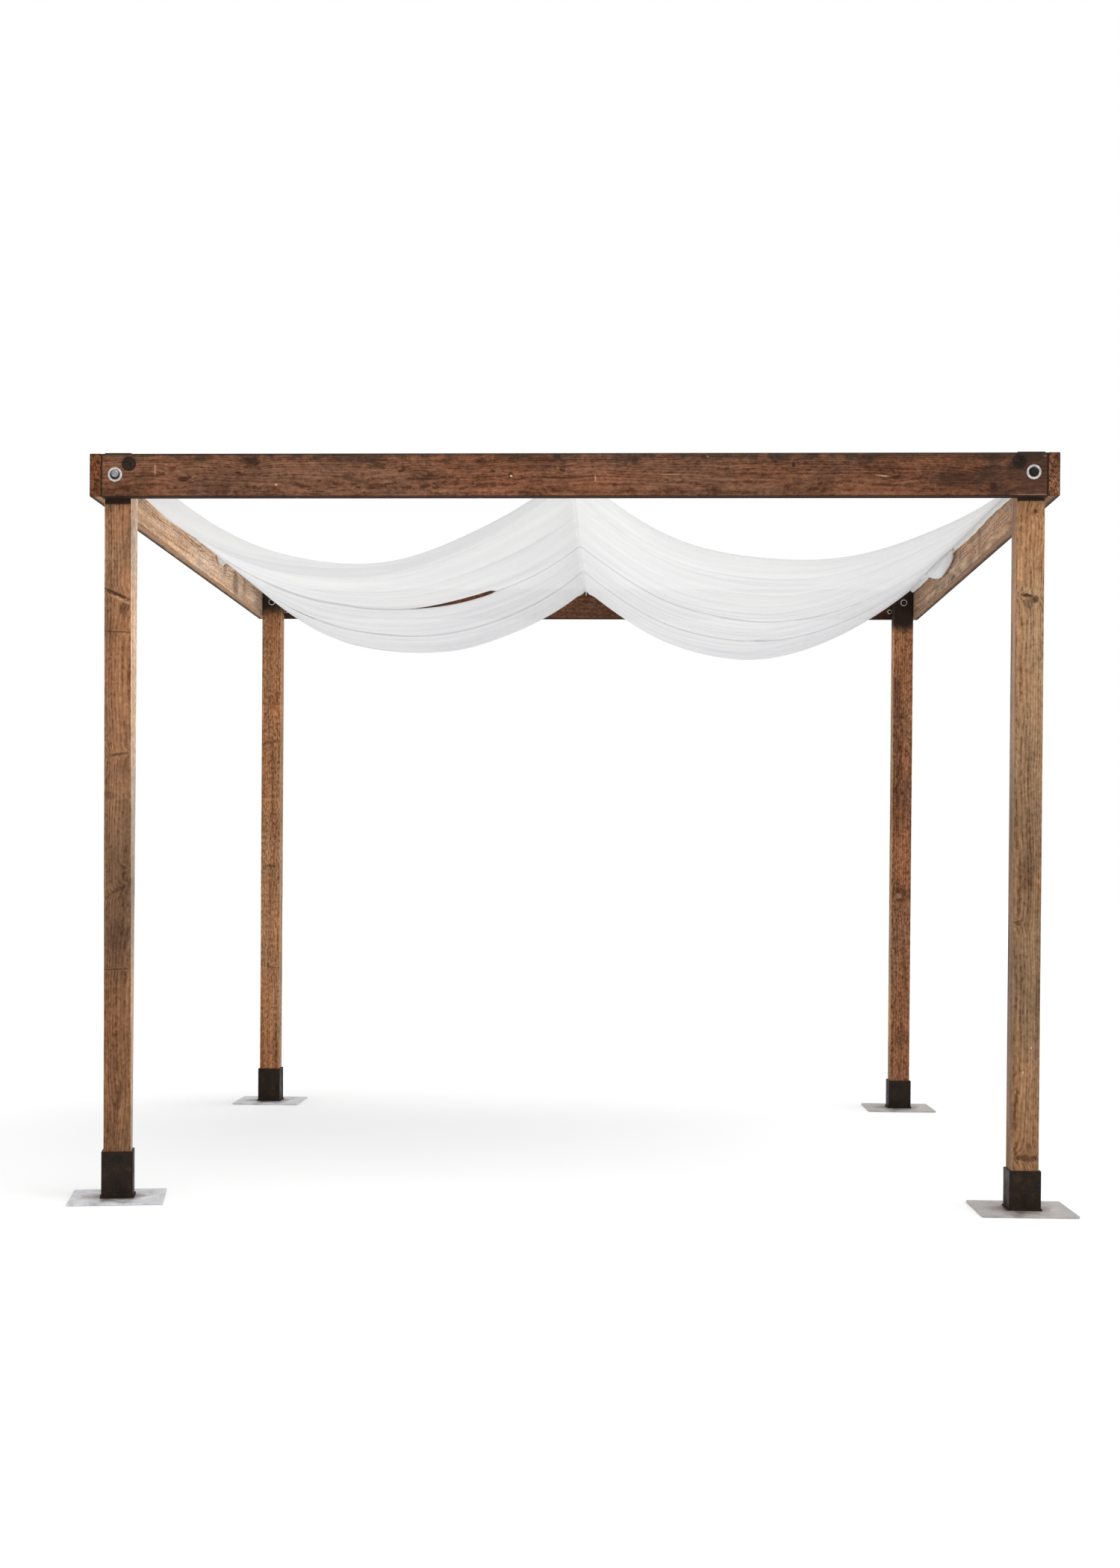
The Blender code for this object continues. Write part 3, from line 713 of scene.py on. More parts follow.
def place_along(points, spot, direction):
    """Turns a shape built about +Z so that +Z points along direction, and moves it to spot."""
    z = np.array(direction, float)
    x = np.cross((0.0, 0.0, 1.0), z) if abs(z[2]) < 0.9 else np.array((1.0, 0.0, 0.0))
    x /= np.linalg.norm(x)
    return points @ np.stack([x, np.cross(z, x), z]) + np.array(spot)


def lathe(profile, steps=32, closed=False):
    """A profile of (radius, height) turned about Z. It runs from the middle of the top, outwards and down."""
    profile = np.array(profile, float)
    angle = np.arange(steps) * 2 * math.pi / steps
    radius, height = profile[:, 0][:, None], profile[:, 1][:, None]
    points = np.stack([radius * np.cos(angle), radius * np.sin(angle), height + 0 * angle], -1)
    quads = cells(len(profile), steps, wrap_rows=closed, wrap_columns=True)[:, ::-1]
    return points.reshape(-1, 3), quads


print("piece helpers ready")

# %% [markdown]
# ## Bolts, washers and nuts
# Each plank is held to its post by one through bolt with a wide zinc washer under a domed head, and beside
# it sits an older, blackened bolt. A dark disc in each washer's hole is painted shade round the head. Inside,
# the bolt ends in a washer and a nut. All are lathe shapes: a profile turned about an axis, with a small
# round on every edge. The nut's profile is turned in six steps, which makes it a hexagon.

# %% Fixings
AXIS = 0.0002  # the radius that a profile starts from, so that no face shrinks to a line


def washer(outer, inner, thick):
    """A flat ring with its rims rounded: a closed profile turned about the axis."""
    ease = thick * 0.3
    return lathe([(inner, 0), (inner, thick - ease), (inner + ease, thick), (outer - ease, thick),
                  (outer, thick - ease), (outer, 0)], 40, closed=True)


def dome(radius, height, lift):
    """A domed bolt head: a quarter of an ellipse turned about the axis, on a short straight rim."""
    angle = np.linspace(math.pi / 2, 0, 9)
    rim = 0.001
    curve = [(max(radius * math.cos(a), AXIS), lift + rim + (height - rim) * math.sin(a)) for a in angle]
    return lathe([*curve, (radius, lift), (AXIS, lift)], 28)


def nut(across_flats, height, lift):
    """A hexagon with eased corners, turned in six steps, with the bolt's end standing out of it."""
    corner = across_flats / math.sqrt(3)
    top = lift + height
    body = lathe([(AXIS, top), (corner * 0.86, top), (corner, top - 0.0015), (corner, lift + 0.001),
                  (corner * 0.94, lift), (AXIS, lift)], 6)
    stub = lathe([(AXIS, top + 0.007), (0.0042, top + 0.007), (0.005, top + 0.006), (0.005, top - 0.001),
                  (AXIS, top - 0.001)], 16)
    return gather([body, stub])


def fixed(shapes, spot, direction):
    """A few shapes of one fixing, set on the object."""
    points, quads = gather(shapes)
    return place_along(points, spot, direction), quads


BOLT_BELOW_TOP = {"left": 0.068, "right": 0.063}
OLD_BOLT_BELOW_TOP = {"left": 0.033, "right": 0.028}
OLD_BOLT_INSET = 0.090
SIDE_BOLT_BELOW_TOP = 0.098
NUT_BELOW_TOP = 0.076
OLD_NUT_BELOW_TOP = 0.106
OLD_NUT_INSET = 0.098
HOLE = 0.0160
HALF_POST = 0.04445
WASHER_THICK = 0.003
outer_front, outer_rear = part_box("plank_front")[0].y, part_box("plank_rear")[1].y
outer_left, outer_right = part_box("plank_left")[0].x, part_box("plank_right")[1].x
end_left, end_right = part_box("plank_front")[0].x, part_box("plank_front")[1].x
skin = 0.0002  # how far a fixing stands off the face that it sits on
big_washer = washer(0.0235, HOLE, WASHER_THICK)
# A dark disc in the washer's hole: painted shade under the domed head.
hole_shade = dome(HOLE, 0.0012, 0.0)
big_head = dome(0.0128, 0.0075, 0.0014)
bright, dull_and_shade, heads, nuts = [], [], [], []
for hand, sign in (("left", -1), ("right", 1)):
    post_x = posts[f"post_front_{hand}"][0]
    end_x, outer_x = (end_left, outer_left) if sign < 0 else (end_right, outer_right)
    for end, outer, inner, facing in (("front", outer_front, inner_front, -1),
                                      ("rear", outer_rear, inner_rear, 1)):
        outside, inside = (0, facing, 0), (0, -facing, 0)
        outer_y, inner_y = outer + facing * skin, inner - facing * skin
        spot = (post_x, outer_y, plank_top - BOLT_BELOW_TOP[hand])
        bright.append(fixed([big_washer], spot, outside))
        dull_and_shade.append(fixed([hole_shade], spot, outside))
        head_spot = (post_x, outer_y, plank_top - BOLT_BELOW_TOP[hand] + 0.0030)
        (dull_and_shade if hand == "right" else heads).append(fixed([big_head], head_spot, outside))
        if end == "front":
            post_face = posts["post_front_right"][1] + HALF_POST
        else:
            post_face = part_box(f"post_rear_{hand}")[0].y
        nut_spot = (post_x, post_face - facing * skin, plank_top - NUT_BELOW_TOP)
        nuts.append(fixed([washer(0.0155, 0.0112, 0.0025)], nut_spot, inside))
        dull_and_shade.append(fixed([nut(0.019, 0.008, 0.0004)], nut_spot, inside))
        old_bolt = [washer(0.023, 0.0150, 0.0022), washer(0.0125, 0.0085, 0.005), dome(0.0060, 0.002, 0.0003)]
        old_spot = (end_x - sign * OLD_BOLT_INSET, outer_y, plank_top - OLD_BOLT_BELOW_TOP[hand])
        dull_and_shade.append(fixed(old_bolt, old_spot, outside))
        low_spot = (end_x - sign * OLD_NUT_INSET, inner_y, plank_top - OLD_NUT_BELOW_TOP)
        nuts.append(fixed([washer(0.0105, 0.0068, 0.0022)], low_spot, inside))
        dull_and_shade.append(fixed([nut(0.0115, 0.006, 0.0004)], low_spot, inside))
        side_spot = (outer_x + sign * skin, posts[f"post_{end}_{hand}"][1], plank_top - SIDE_BOLT_BELOW_TOP)
        bright.append(fixed([big_washer], side_spot, (sign, 0, 0)))
        dull_and_shade.append(fixed([hole_shade], side_spot, (sign, 0, 0)))
        heads.append(fixed([big_head], side_spot, (sign, 0, 0)))
piece("plank_washers", gather(bright), bright_zinc)
piece("bolt_heads", gather(heads), zinc("worn_zinc", paint(150, 146, 144), 0.38))
# The old bolts, nuts and right heads, with the discs of painted shade in the washers' holes.
piece("old_bolts_and_hole_shade", gather(dull_and_shade), dull_bolt_and_shade)
piece("nuts_inside", gather(nuts), bright_zinc)
print("fixings:", len(bright), "washers,", len(dull_and_shade), "old bolts,", len(nuts), "nuts")

# %% [markdown]
# ## Welds
# Each tube is welded to its plate all round. A weld is a low bead with ripples across it: a round bar
# carried round the tube's square foot, its size rising and falling along the path.

# %% Welds
HALF_TUBE = 0.0508
WELD_OUTSIDE = 0.0012
STEPS_A_SIDE = 46
PLATE_TOP = 0.00655
FOOT_TURN = math.radians(10.5)


def bead(part_shoe, turn, size=0.0055):
    """A round bar along a square path just outside the tube: its size ripples at each step of the path."""
    low, high = (np.array(corner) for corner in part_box(part_shoe))
    half = HALF_TUBE + WELD_OUTSIDE
    steps = 4 * STEPS_A_SIDE
    s = np.arange(steps) / steps * 4
    side, along = np.floor(s).astype(int), (s % 1) * 2 - 1
    corner = np.array([(-1, -1), (1, -1), (1, 1), (-1, 1)])
    start, stop = corner[side], corner[(side + 1) % 4]
    flat = ((1 - along)[:, None] * start + (1 + along)[:, None] * stop) / 2 * half
    outward = flat / np.linalg.norm(flat, axis=1)[:, None]
    rng = np.random.default_rng(int(1000 * abs(low[0])) + int(10 * abs(low[1])))
    ripple = 1 + 0.16 * np.sin(s * 2 * math.pi * 11) + 0.10 * rng.standard_normal(steps)
    angle = np.arange(8) * 2 * math.pi / 8
    ring = size * ripple[:, None] * 0.8
    points = np.stack([flat[:, 0, None] + outward[:, 0, None] * ring * np.cos(angle),
                       flat[:, 1, None] + outward[:, 1, None] * ring * np.cos(angle),
                       PLATE_TOP + 0.00005 + ring * (0.55 + 0.62 * np.sin(angle))], -1).reshape(-1, 3)
    c, sn = math.cos(turn), math.sin(turn)
    points[:, :2] = points[:, :2] @ np.array([[c, sn], [-sn, c]]) + ((low + high) / 2)[:2]
    points[:, 2] = np.maximum(points[:, 2], PLATE_TOP)
    return points, cells(steps, 8, wrap_rows=True, wrap_columns=True)[:, ::-1]


beads = [bead(name, FOOT_TURN if name == "shoe_front_left" else 0.0) for name in sorted(nodes)
         if name.startswith("shoe_")]
piece("welds", gather(beads), speckled_steel("weld_steel"), smooth=60)
print("welds:", len(beads), "beads")

# %% [markdown]
# ## Voile
# The cloth is a thin white voile. Light falls through it as well as on it, so the finish mixes a soft
# reflecting surface with a translucent one, and lets a little straight through. The hems are doubled and
# let less through. Painted shade and painted light are laid on the cloth's colour by the attribute called
# gather. The weave runs with the cloth, so it is drawn on the sheet's own UV map, in metres.

# %% Voile finish
def voile_finish(name, white, sheer=0.05, glowing=0.5):
    """White voile from Principled and Translucent shaders. The weave is on the UV map, and the attribute
    called gather says where the cloth is doubled or drawn together and so is darker, and carries painted
    shade along folds and at the turn-overs and painted light where the cloth is brighter."""
    look, tree, shader = plain(name, white, 0.9)
    shader.inputs["Specular IOR Level"].default_value = 0.12
    shader.inputs["Sheen Weight"].default_value = 0.1
    place = put(tree, "TexCoord", 2)
    slub = plus(tree, noise(tree, place, (1500, 60, 1), 2.0), noise(tree, place, (60, 1500, 1), 2.0))
    cloudy = noise(tree, place, (2.2, 6, 1), 4.0)
    cloudy = ramp(tree, cloudy, (0.3, (0.955, 0.957, 0.97)), (0.7, (1.02, 1.02, 1.01)))
    tint = layer(tree, 1.0, white, cloudy, "MULTIPLY")
    tint = layer(tree, 0.4, tint, ramp(tree, slub, (0.8, 0.93), (1.0, 1.0)), "MULTIPLY")
    # The gather attribute darkens the colour where the cloth is doubled, and lays painted shade and painted
    # light on it.
    shade_and_bunching = put(tree, "Attribute", 2, settings={"attribute_name": "gather"})
    gather_shade = calc(tree, "MULTIPLY_ADD", shade_and_bunching, -0.30, 1.0)
    gather_shade_blue = calc(tree, "MULTIPLY_ADD", shade_and_bunching, -0.25, 1.0)
    shade_and_gathering = put(tree, "CombineColor", Red=gather_shade, Green=gather_shade, Blue=gather_shade_blue)
    tint = layer(tree, 1.0, tint, shade_and_gathering, "MULTIPLY")
    join(tree, tint, shader.inputs["Base Color"])
    relief = put(tree, "Bump", Strength=0.12, Distance=0.0004, Height=slub)
    join(tree, relief, shader.inputs["Normal"])
    glow = put(tree, "BsdfTranslucent", Color=tint, Normal=relief)
    through = put(tree, "BsdfTransparent")
    body = put(tree, "MixShader", Fac=glowing)
    mixer = body.node
    tree.links.new(shader.outputs[0], mixer.inputs[1])
    tree.links.new(glow, mixer.inputs[2])
    last = put(tree, "MixShader", Fac=sheer).node
    tree.links.new(body, last.inputs[1])
    tree.links.new(through, last.inputs[2])
    tree.links.new(last.outputs[0], tree.nodes["Material Output"].inputs["Surface"])
    return look


white_voile = voile_finish("white_voile", (0.72, 0.72, 0.722))
# The ties' voile is whiter than the sheets': painted light, so that the shaded knots look lit.
tie_voile_painted_light = voile_finish("tie_voile_painted_light", (0.89, 0.89, 0.895), sheer=0.0, glowing=0.3)
print("voile finishes ready")

# %% [markdown]
# ## The swags
# Three widths of voile cross the whole canopy, side by side from front to back. Each lies on the left plank,
# falls over its edge, hangs in a swag, goes over the middle wire, and hangs again to the right plank.
# Across one swag, with t from 0 at the plank to 1 at the wire, the cloth lies
# sag * (1 - |2t - 1| ** power) below the straight line between its ends. A power of 2 is a parabola, and a
# loose cloth is a little flatter at its bottom. Over the wire the two swags are joined by a short round, so
# that the ridge is soft.

# %% Swag shapes
ACROSS = 221
TURN_LEFT, TURN_RIGHT = 14, 26
RIDGE_ROUND = 0.012
HEM_REACH = 1.385
wire_low, wire_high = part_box("middle_wire")
front_line = centre[1] - HEM_REACH


def ridge_height(y):
    """The top of the middle wire at y, with the cloth just over it: a shallow parabola."""
    half = (wire_high.y - wire_low.y) / 2
    dip = (wire_high.z - wire_low.z) - 0.004
    return wire_high.z - dip * (1 - ((y - centre[1]) / half) ** 2) + 0.0012


def along_sheet(u, stops):
    """A value that changes smoothly along the sheet, from its stops at even steps of u from 0 to 1."""
    stops = np.array(stops, float)
    at = np.clip(u, 0, 1) * (len(stops) - 1)
    i = np.minimum(at.astype(int), len(stops) - 2)
    f = at - i
    f = f * f * (3 - 2 * f)
    return stops[i] * (1 - f) + stops[i + 1] * f


def step(value, low, high):
    """A smooth step from 0 at low to 1 at high."""
    f = np.clip((value - low) / (high - low), 0, 1)
    return f * f * (3 - 2 * f)


def fold_field(u, y, hems, main, rng, count):
    """The folds of one width as heights, and the painted shade that each lays along its line, which is
    painted light where it is below 0. A fold is exp(-q * q) * (1 + lean * q), where q is the distance from
    the fold's line in fold widths. On the left swag the lines run back towards the plank, and on the right
    swag they run together towards the front corner."""
    first, last = hems
    height, gather_shade = np.zeros_like(u), np.zeros_like(u)
    for side, stops, size, tall, dark in main:
        inside = (u < 0.5) if side == 0 else (u >= 0.5)
        line = centre[1] + along_sheet(2 * u - side, stops)
        q = (y - line) / size
        height += inside * tall * np.exp(-q * q) * (1 + 0.7 * q)
        # Painted shade along the fold's line.
        gather_shade += inside * dark * np.exp(-((y - line) / (size * 0.9)) ** 2)
    for side in (0, 1):
        inside = (u < 0.5) if side == 0 else (u >= 0.5)
        t = 2 * u if side == 0 else 2 - 2 * u
        for _ in range(count):
            start = first + rng.beta(1.0, 1.05) * (last - first)
            size, tall = rng.uniform(0.006, 0.022), rng.uniform(0.0014, 0.0048)
            lean, share, reach = rng.uniform(-0.9, 0.9), rng.uniform(0.1, 0.8), rng.uniform(0.25, 0.7)
            drift, dark = rng.uniform(-0.08, 0.08), rng.uniform(-0.05, 0.22)
            near_plank = np.clip(1 - t / 0.55, 0, 1) ** 1.6
            if side == 0:
                line = start + 0.22 * near_plank + drift * (t - 0.5)
            else:
                line = start - rng.uniform(0.35, 0.7) * (start - front_line) * near_plank + drift * (t - 0.5)
            line = line + 0.010 * np.sin(5 * t + 9 * start)
            fade = np.exp(-((t - share) / reach) ** 4)
            q = (y - line) / (size * (1 - 0.45 * near_plank))
            height += inside * tall * fade * np.exp(-q * q) * (1 + lean * q)
            # Painted shade along each small fold's line.
            gather_shade += inside * dark * fade * np.exp(-(q * 1.2) ** 2)
    return height, gather_shade


def eased(count, corners):
    """Weights that carry a path of a few corners to count points, with the corners rounded."""
    at = np.linspace(0, corners - 1, count)
    weights = np.maximum(0, 1 - np.abs(at[:, None] - np.arange(corners)))
    for _ in range(2):
        weights[1:-1] = (weights[:-2] + 2 * weights[1:-1] + weights[2:]) / 4
    return weights


# Each turn-over is (across, up) from the plank's inner top edge. The front left corner is drawn over the
# post's top.
OVER_LEFT = np.array([(-0.030, 0.0012), (-0.014, 0.0012), (-0.001, 0.0016), (0.0030, -0.004),
                      (0.0036, -0.020), (0.0046, -0.033)])
OVER_LEFT_FRONT = np.array([(-0.030, 0.0012), (-0.014, 0.0012), (0.010, 0.0030), (0.035, 0.0050),
                            (0.060, 0.0045), (0.084, 0.0015)])
OVER_RIGHT = np.array([(-0.024, -0.027), (-0.020, -0.0205), (-0.015, -0.024), (-0.0095, -0.031),
                       (-0.0050, -0.0350), (-0.0036, -0.026), (-0.0030, -0.004), (0.001, 0.0016),
                       (0.014, 0.0012), (0.030, 0.0012)])


def swag_sheet(front, rear, rows, width, main, count, seed, slit_front=0.0, slit_rear=0.0, glint=0.0,
               painted_shade_front_rear=(0.0, 0.0)):
    """One width of voile as a grid. front and rear are its hems, each as stops of y, sag and power from the
    left plank to the right plank. A slit lifts a hem on part of the left swag, and a glint brightens one. The
    last argument is painted shade from the front hem to the rear one, and painted light below 0."""
    u, v = np.meshgrid(np.linspace(0, 1, ACROSS), np.linspace(0, 1, rows))
    y, sag, power = (along_sheet(u, a) * (1 - v) + along_sheet(u, b) * v for a, b in zip(front, rear))
    y = y + centre[1]
    t = 1 - np.abs(2 * u - 1)
    left = u < 0.5
    corner = np.exp(-((y - front_line) / 0.13) ** 2)
    off_x, off_z = (OVER_LEFT[-1][k] * (1 - corner) + OVER_LEFT_FRONT[-1][k] * corner for k in (0, 1))
    start_x = np.where(left, inner_left + off_x, inner_right + OVER_RIGHT[0][0])
    start_z = plank_top + np.where(left, off_z, OVER_RIGHT[0][1])
    x = start_x * (1 - t) + centre[0] * t
    aside = np.abs(x - centre[0])
    pinch = np.maximum(aside - 0.004, 0) * np.exp(-(aside / 0.030) ** 4) * step(y, 0.75, 1.35)
    x = x - np.sign(x - centre[0]) * pinch
    near = (1 - t) * (1 - np.exp(-(1 - t) / (RIDGE_ROUND * (1 - 0.5 * v * width / 1.6))))
    z = start_z * near + ridge_height(y) * (1 - near) - sag * (1 - np.abs(1 - 2 * near) ** power)
    opening = step(u, 0.250, 0.358) * (1 - step(u, 0.379, 0.392))
    z = z + opening * (slit_front * (1 - v) ** 6 + slit_rear * v ** 12)

    rng = np.random.default_rng(seed)
    hems = y.min(), y.max()
    height, gather_shade = fold_field(u, y, hems, main, rng, count)
    ends = (1 - np.exp(-(t / np.where(left, 0.04, 0.08)) ** 2)) * (1 - np.exp(-((1 - t) / 0.05) ** 2))
    quiet = step(v * width, 0.0, 0.025) * step((1 - v) * width, 0.0, 0.025)
    z = z + height * ends * (0.25 + 0.75 * quiet)
    gather_shade = gather_shade * (0.3 + 0.7 * ends)
    for distance in (v * width, (1 - v) * width):
        gather_shade = gather_shade + 0.10 * (distance < 0.022) + 0.12 * np.exp(-((distance - 0.022) / 0.005) ** 2)
    # Painted shade from the front hem to the rear one (painted light below 0) and on the right of the right
    # swag; painted light near the ridge on the right swag, and a painted glint by the wire.
    gather_shade = gather_shade + painted_shade_front_rear[0] * (1 - v) + painted_shade_front_rear[1] * v + 0.12 * step(u, 0.62, 0.95)
    gather_shade = gather_shade - 0.10 * np.exp(-((u - 0.56) / 0.05) ** 2)
    by_wire = step(u, 0.385, 0.41) * (1 - step(u, 0.49, 0.51))
    gather_shade = gather_shade - glint * by_wire * np.exp(-(v * width / 0.05) ** 2)
    middle_rows = np.stack([x, y, z], -1)

    corner_row = corner[:, :1, None]
    over_left = OVER_LEFT * (1 - corner_row) + OVER_LEFT_FRONT * corner_row
    over_left = np.einsum("ck,rkd->rcd", eased(TURN_LEFT, len(OVER_LEFT)), over_left)[:, :-1]
    over_right = np.einsum("ck,kd->cd", eased(TURN_RIGHT, len(OVER_RIGHT)), OVER_RIGHT)[None, 1:]
    wave_left = 0.003 * np.sin(23 * y[:, :1]) * (over_left[..., 1] < -0.01)
    wave_right = 0.003 * np.sin(9 * y[:, :1] + 1) + 0.0008 * np.sin(41 * y[:, :1])
    over_right = over_right * np.ones((rows, 1, 1))
    over_right[..., 1] += wave_right * np.exp(-((over_right[..., 1] + 0.032) / 0.010) ** 2)
    blocks = []
    for block, edge_x, edge_y in ((over_left, inner_left, y[:, :1]), (over_right, inner_right, y[:, -1:])):
        across, upward = block[..., 0], block[..., 1]
        blocks.append(np.stack([edge_x + across, edge_y + 0 * across, plank_top + upward], -1))
    blocks[0][..., 2] += wave_left
    points = np.concatenate([blocks[0], middle_rows, blocks[1]], 1)
    # Painted shade at the right edge and in the roll along the right plank, and painted light on the strip of
    # cloth beside the roll.
    columns = np.arange(TURN_RIGHT - 1)
    roll_shade_and_light = 0.8 * np.exp(-((columns - 2.0) / 2.2) ** 2) - 1.25 * np.exp(-((columns - 9.5) / 4.5) ** 2)
    gather_shade = np.concatenate([np.zeros((rows, TURN_LEFT - 1)), gather_shade + 0.5 * np.exp(-((1 - u) / 0.006) ** 2),
                            np.broadcast_to(roll_shade_and_light, (rows, TURN_RIGHT - 1))], 1)
    lengths = np.linalg.norm(np.diff(points[rows // 2], axis=0), axis=1)
    run = np.concatenate([[0], np.cumsum(lengths)])
    uv = np.stack([np.broadcast_to(run, points.shape[:2]), v[:, :1] * width + 0 * run], -1)
    return (points.reshape(-1, 3), cells(rows, points.shape[1])), uv.reshape(-1, 2), gather_shade.ravel(), run[-1]


print("swag shapes ready")

# %% [markdown]
# ## Three widths of voile
# The front one is a whole width of a 1.6 m roll, and the two behind it are half widths. Each is laid just
# under the one in front of it. On the left the first lap has slipped and leaves a slit near the wire. The
# main folds are given one by one: the swag (0 left, 1 right), the y of the fold's line at five places
# along it, its width, its height and how much painted shade it lays along its line (painted light below 0).
# Small ones are scattered between them.

# %% Widths of voile
lap = 0.024
hem_one = (0.07, 0.095, 0.10, 0.10, 0.10, 0.13, 0.18, 0.22, 0.22)
hem_two = (0.80, 0.80, 0.80, 0.79, 0.78, 0.76, 0.74, 0.72, 0.72)
powers_front = (2.2, 2.2, 2.0, 1.80, 2.1, 2.4, 2.1, 2.0, 2.3)
powers_middle = (2.2, 2.2, 2.1, 2.1, 2.1, 2.2, 2.0, 1.9, 1.9)
powers_rear = (2.3, 2.4, 2.2, 1.95, 2.0, 2.05, 1.9, 1.85, 1.85)
sag_first = (0.325, 0.325, 0.325, 0.325, 0.310, 0.297, 0.297, 0.297, 0.297)
sag_one = (0.254, 0.254, 0.254, 0.254, 0.272, 0.290, 0.294, 0.294, 0.294)
sag_two = (0.279, 0.279, 0.279, 0.279, 0.292, 0.304, 0.308, 0.308, 0.308)
sag_last = (0.288, 0.288, 0.288, 0.288, 0.302, 0.316, 0.320, 0.320, 0.320)
LAID_UNDER = 0.0016


def under(sags):
    """The same sags for a cloth that lies just below."""
    return tuple(sag + LAID_UNDER for sag in sags)


front_folds = [
    (0, (-0.80, -0.95, -1.06, -1.17, -1.25), 0.020, 0.009, 0.42),
    (0, (-1.04, -1.13, -1.22, -1.28, -1.32), 0.085, -0.008, 0.26),
    (0, (-0.33, -0.46, -0.57, -0.60, -0.58), 0.036, 0.012, 0.40),
    (0, (-0.62, -0.74, -0.84, -0.92, -0.95), 0.070, 0.014, -0.16),
    (0, (-0.20, -0.28, -0.36, -0.40, -0.42), 0.018, 0.005, 0.20),
    (0, (0.02, 0.02, 0.01, -0.06, -0.10), 0.050, 0.008, 0.26),
    (1, (-1.00, -0.83, -0.85, -1.00, -1.18), 0.014, 0.007, 0.26),
    (1, (-1.20, -1.12, -1.10, -1.19, -1.30), 0.020, 0.007, 0.14),
    (1, (-0.60, -0.52, -0.55, -0.78, -1.05), 0.022, 0.008, 0.18),
    (1, (-0.30, -0.25, -0.30, -0.55, -0.90), 0.018, 0.007, 0.18),
    (1, (-0.05, 0.00, -0.05, -0.30, -0.70), 0.016, 0.007, 0.16),
    (1, (-0.80, -0.70, -0.70, -0.88, -1.10), 0.060, 0.010, 0.0),
]
middle_folds = [
    (0, (0.30, 0.30, 0.32, 0.34, 0.35), 0.030, 0.007, 0.14),
    (0, (0.55, 0.55, 0.54, 0.52, 0.50), 0.050, 0.008, 0.05),
    (1, (0.35, 0.40, 0.38, 0.30, 0.24), 0.018, 0.007, 0.24),
    (1, (0.60, 0.60, 0.58, 0.50, 0.40), 0.022, 0.007, 0.16),
]
rear_folds = [
    (0, (0.95, 0.95, 0.93, 0.90, 0.88), 0.020, 0.007, 0.28),
    (0, (1.15, 1.15, 1.14, 1.12, 1.10), 0.050, 0.008, 0.06),
    (1, (1.00, 1.05, 1.00, 0.95, 0.88), 0.016, 0.007, 0.24),
    (1, (1.22, 1.20, 1.18, 1.10, 1.00), 0.014, 0.006, 0.24),
]

# The pair given last for each width is painted shade from its front hem to its rear one, and painted light
# below 0.
WIDTHS = {
    "voile_front": dict(
        front=((-HEM_REACH,) * 9, sag_first, powers_front), rear=(hem_one, sag_one, powers_middle),
        rows=360, width=1.6, main=front_folds, count=30, seed=11, slit_rear=0.013, painted_shade_front_rear=(-0.16, -0.06)),
    "voile_middle": dict(
        front=([hem - lap for hem in hem_one], under(sag_one), powers_middle),
        rear=(hem_two, sag_two, powers_middle),
        rows=200, width=0.8, main=middle_folds, count=17, seed=23, slit_front=-0.005, glint=0.35,
        painted_shade_front_rear=(0.0, 0.12)),
    "voile_rear": dict(
        front=([hem - lap for hem in hem_two], under(sag_two), powers_middle),
        rear=((HEM_REACH,) * 9, sag_last, powers_rear),
        rows=190, width=0.8, main=rear_folds, count=15, seed=37, painted_shade_front_rear=(0.12, 0.22)),
}
for name, words in WIDTHS.items():
    shape, uv, gather_shade, run = swag_sheet(**words)
    piece(name, shape, white_voile, smooth=180, uv=uv, shade_and_bunching=gather_shade)
    place = name.split("_")[1]
    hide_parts("cloth_left_" + place, "cloth_right_" + place)
    print(name, len(shape[1]), "faces,", round(float(run), 3), "m along")

# %% [markdown]
# ## Ties
# On the right plank the cloth is drawn together, rolled once round itself and hung by the plank's inner face.
# It is a pleated tube along a short path: the radius changes with the angle, which makes the pleats, and
# along the path, which pinches its ends. The left tie is a small end of cloth tucked under the hem. Both
# ties are in a whiter voile, which is painted light on their shaded folds.

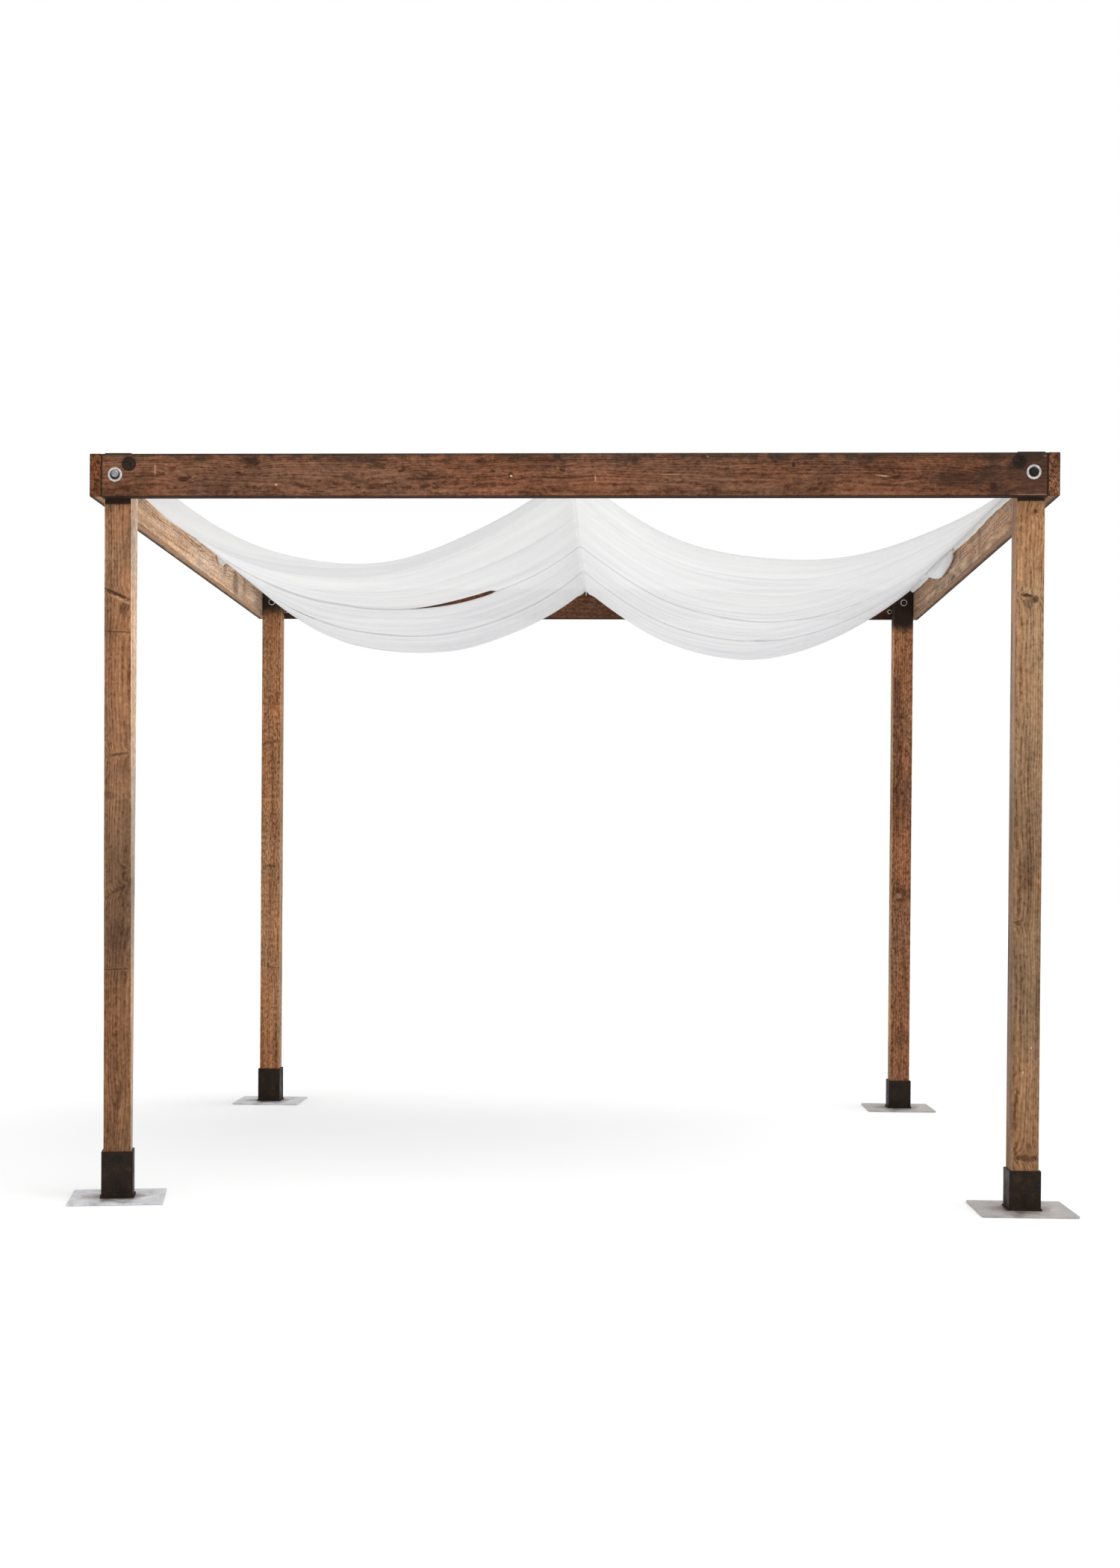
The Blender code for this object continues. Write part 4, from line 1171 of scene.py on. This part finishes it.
# %% Ties
def pleated_roll(path, radius, pleats, depth, twist, seed, sides=48, steps=90):
    """A tube round a smooth path. Its radius is radius(s) * (1 + depth * cos(pleats * angle + twist * s)) and
    two finer waves, with s from 0 to 1 along the path, and it closes nearly to a point at both ends."""
    path = np.array(path, float)
    at = np.linspace(0, len(path) - 1, steps)
    line = np.stack([np.interp(at, np.arange(len(path)), path[:, k]) for k in range(3)], 1)
    kernel = np.hanning(19) / np.hanning(19).sum()
    padded = np.concatenate([np.repeat(line[:1], 9, 0), line, np.repeat(line[-1:], 9, 0)])
    line = np.stack([np.convolve(padded[:, k], kernel, "valid") for k in range(3)], 1)
    forward_step = np.gradient(line, axis=0)
    forward_step /= np.linalg.norm(forward_step, axis=1)[:, None] + 1e-9
    side_step = np.cross(forward_step, (0.25, 0.9, 0.35))
    side_step /= np.linalg.norm(side_step, axis=1)[:, None]
    up_step = np.cross(side_step, forward_step)
    s, angle = np.meshgrid(np.linspace(0, 1, steps), np.arange(sides) * 2 * math.pi / sides, indexing="ij")
    rng = np.random.default_rng(seed)
    ends = np.clip(np.minimum(s, 1 - s) / 0.10, 0.004, 1) ** 0.5
    size = np.interp(s, np.linspace(0, 1, len(radius)), radius) * ends
    size = size * (1 + depth * np.cos(pleats * angle + twist * s)
                   + 0.5 * depth * np.cos(3 * angle - 2 * twist * s + 1)
                   + 0.25 * depth * np.cos(11 * angle + rng.uniform(0, 6)))
    points = (line[:, None] + size[..., None] * (np.cos(angle)[..., None] * side_step[:, None]
                                                 + np.sin(angle)[..., None] * up_step[:, None]))
    return points.reshape(-1, 3), cells(steps, sides, wrap_columns=True)


tie_spot = np.array([inner_right, centre[1], plank_top])
loop_path = tie_spot + np.array([(-0.024, 0.16, -0.036), (-0.029, 0.24, -0.047), (-0.032, 0.33, -0.058),
                                 (-0.033, 0.42, -0.064), (-0.033, 0.50, -0.066), (-0.034, 0.57, -0.062),
                                 (-0.040, 0.64, -0.052), (-0.050, 0.70, -0.042)])
end_path = tie_spot + np.array([(-0.068, 0.80, -0.040), (-0.058, 0.74, -0.042), (-0.050, 0.68, -0.048),
                                (-0.042, 0.62, -0.058), (-0.036, 0.57, -0.066)])
loop = pleated_roll(loop_path, (0.006, 0.020, 0.028, 0.031, 0.030, 0.025, 0.018, 0.012), 4, 0.07, 5.0, 3)
loose_end = pleated_roll(end_path, (0.014, 0.019, 0.019, 0.016, 0.008), 5, 0.09, 2.0, 8, steps=50)
right_tie = piece("tie_roll_right", gather([loop, loose_end]), tie_voile_painted_light, smooth=180)
left_spot = np.array([inner_left, centre[1] + 0.36, plank_top])
left_path = left_spot + np.array([(0.006, -0.050, -0.028), (0.012, -0.020, -0.044), (0.014, 0.014, -0.052),
                                  (0.014, 0.044, -0.046), (0.008, 0.074, -0.030)])
tuck = pleated_roll(left_path, (0.006, 0.012, 0.014, 0.012, 0.006), 4, 0.12, 4.0, 5)
left_tie = piece("tie_tuck_left", tuck, tie_voile_painted_light, smooth=180)
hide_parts("tie_right")
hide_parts("tie_left")
print("ties:", right_tie.name, left_tie.name)

# %% [markdown]
# ## The cloth's length
# Each width runs the whole way from plank to plank, which takes about 3.55 m of cloth with the two swags
# in it and a hand's breadth of turning at each end.

print("three sheets of voile, each from plank to plank")
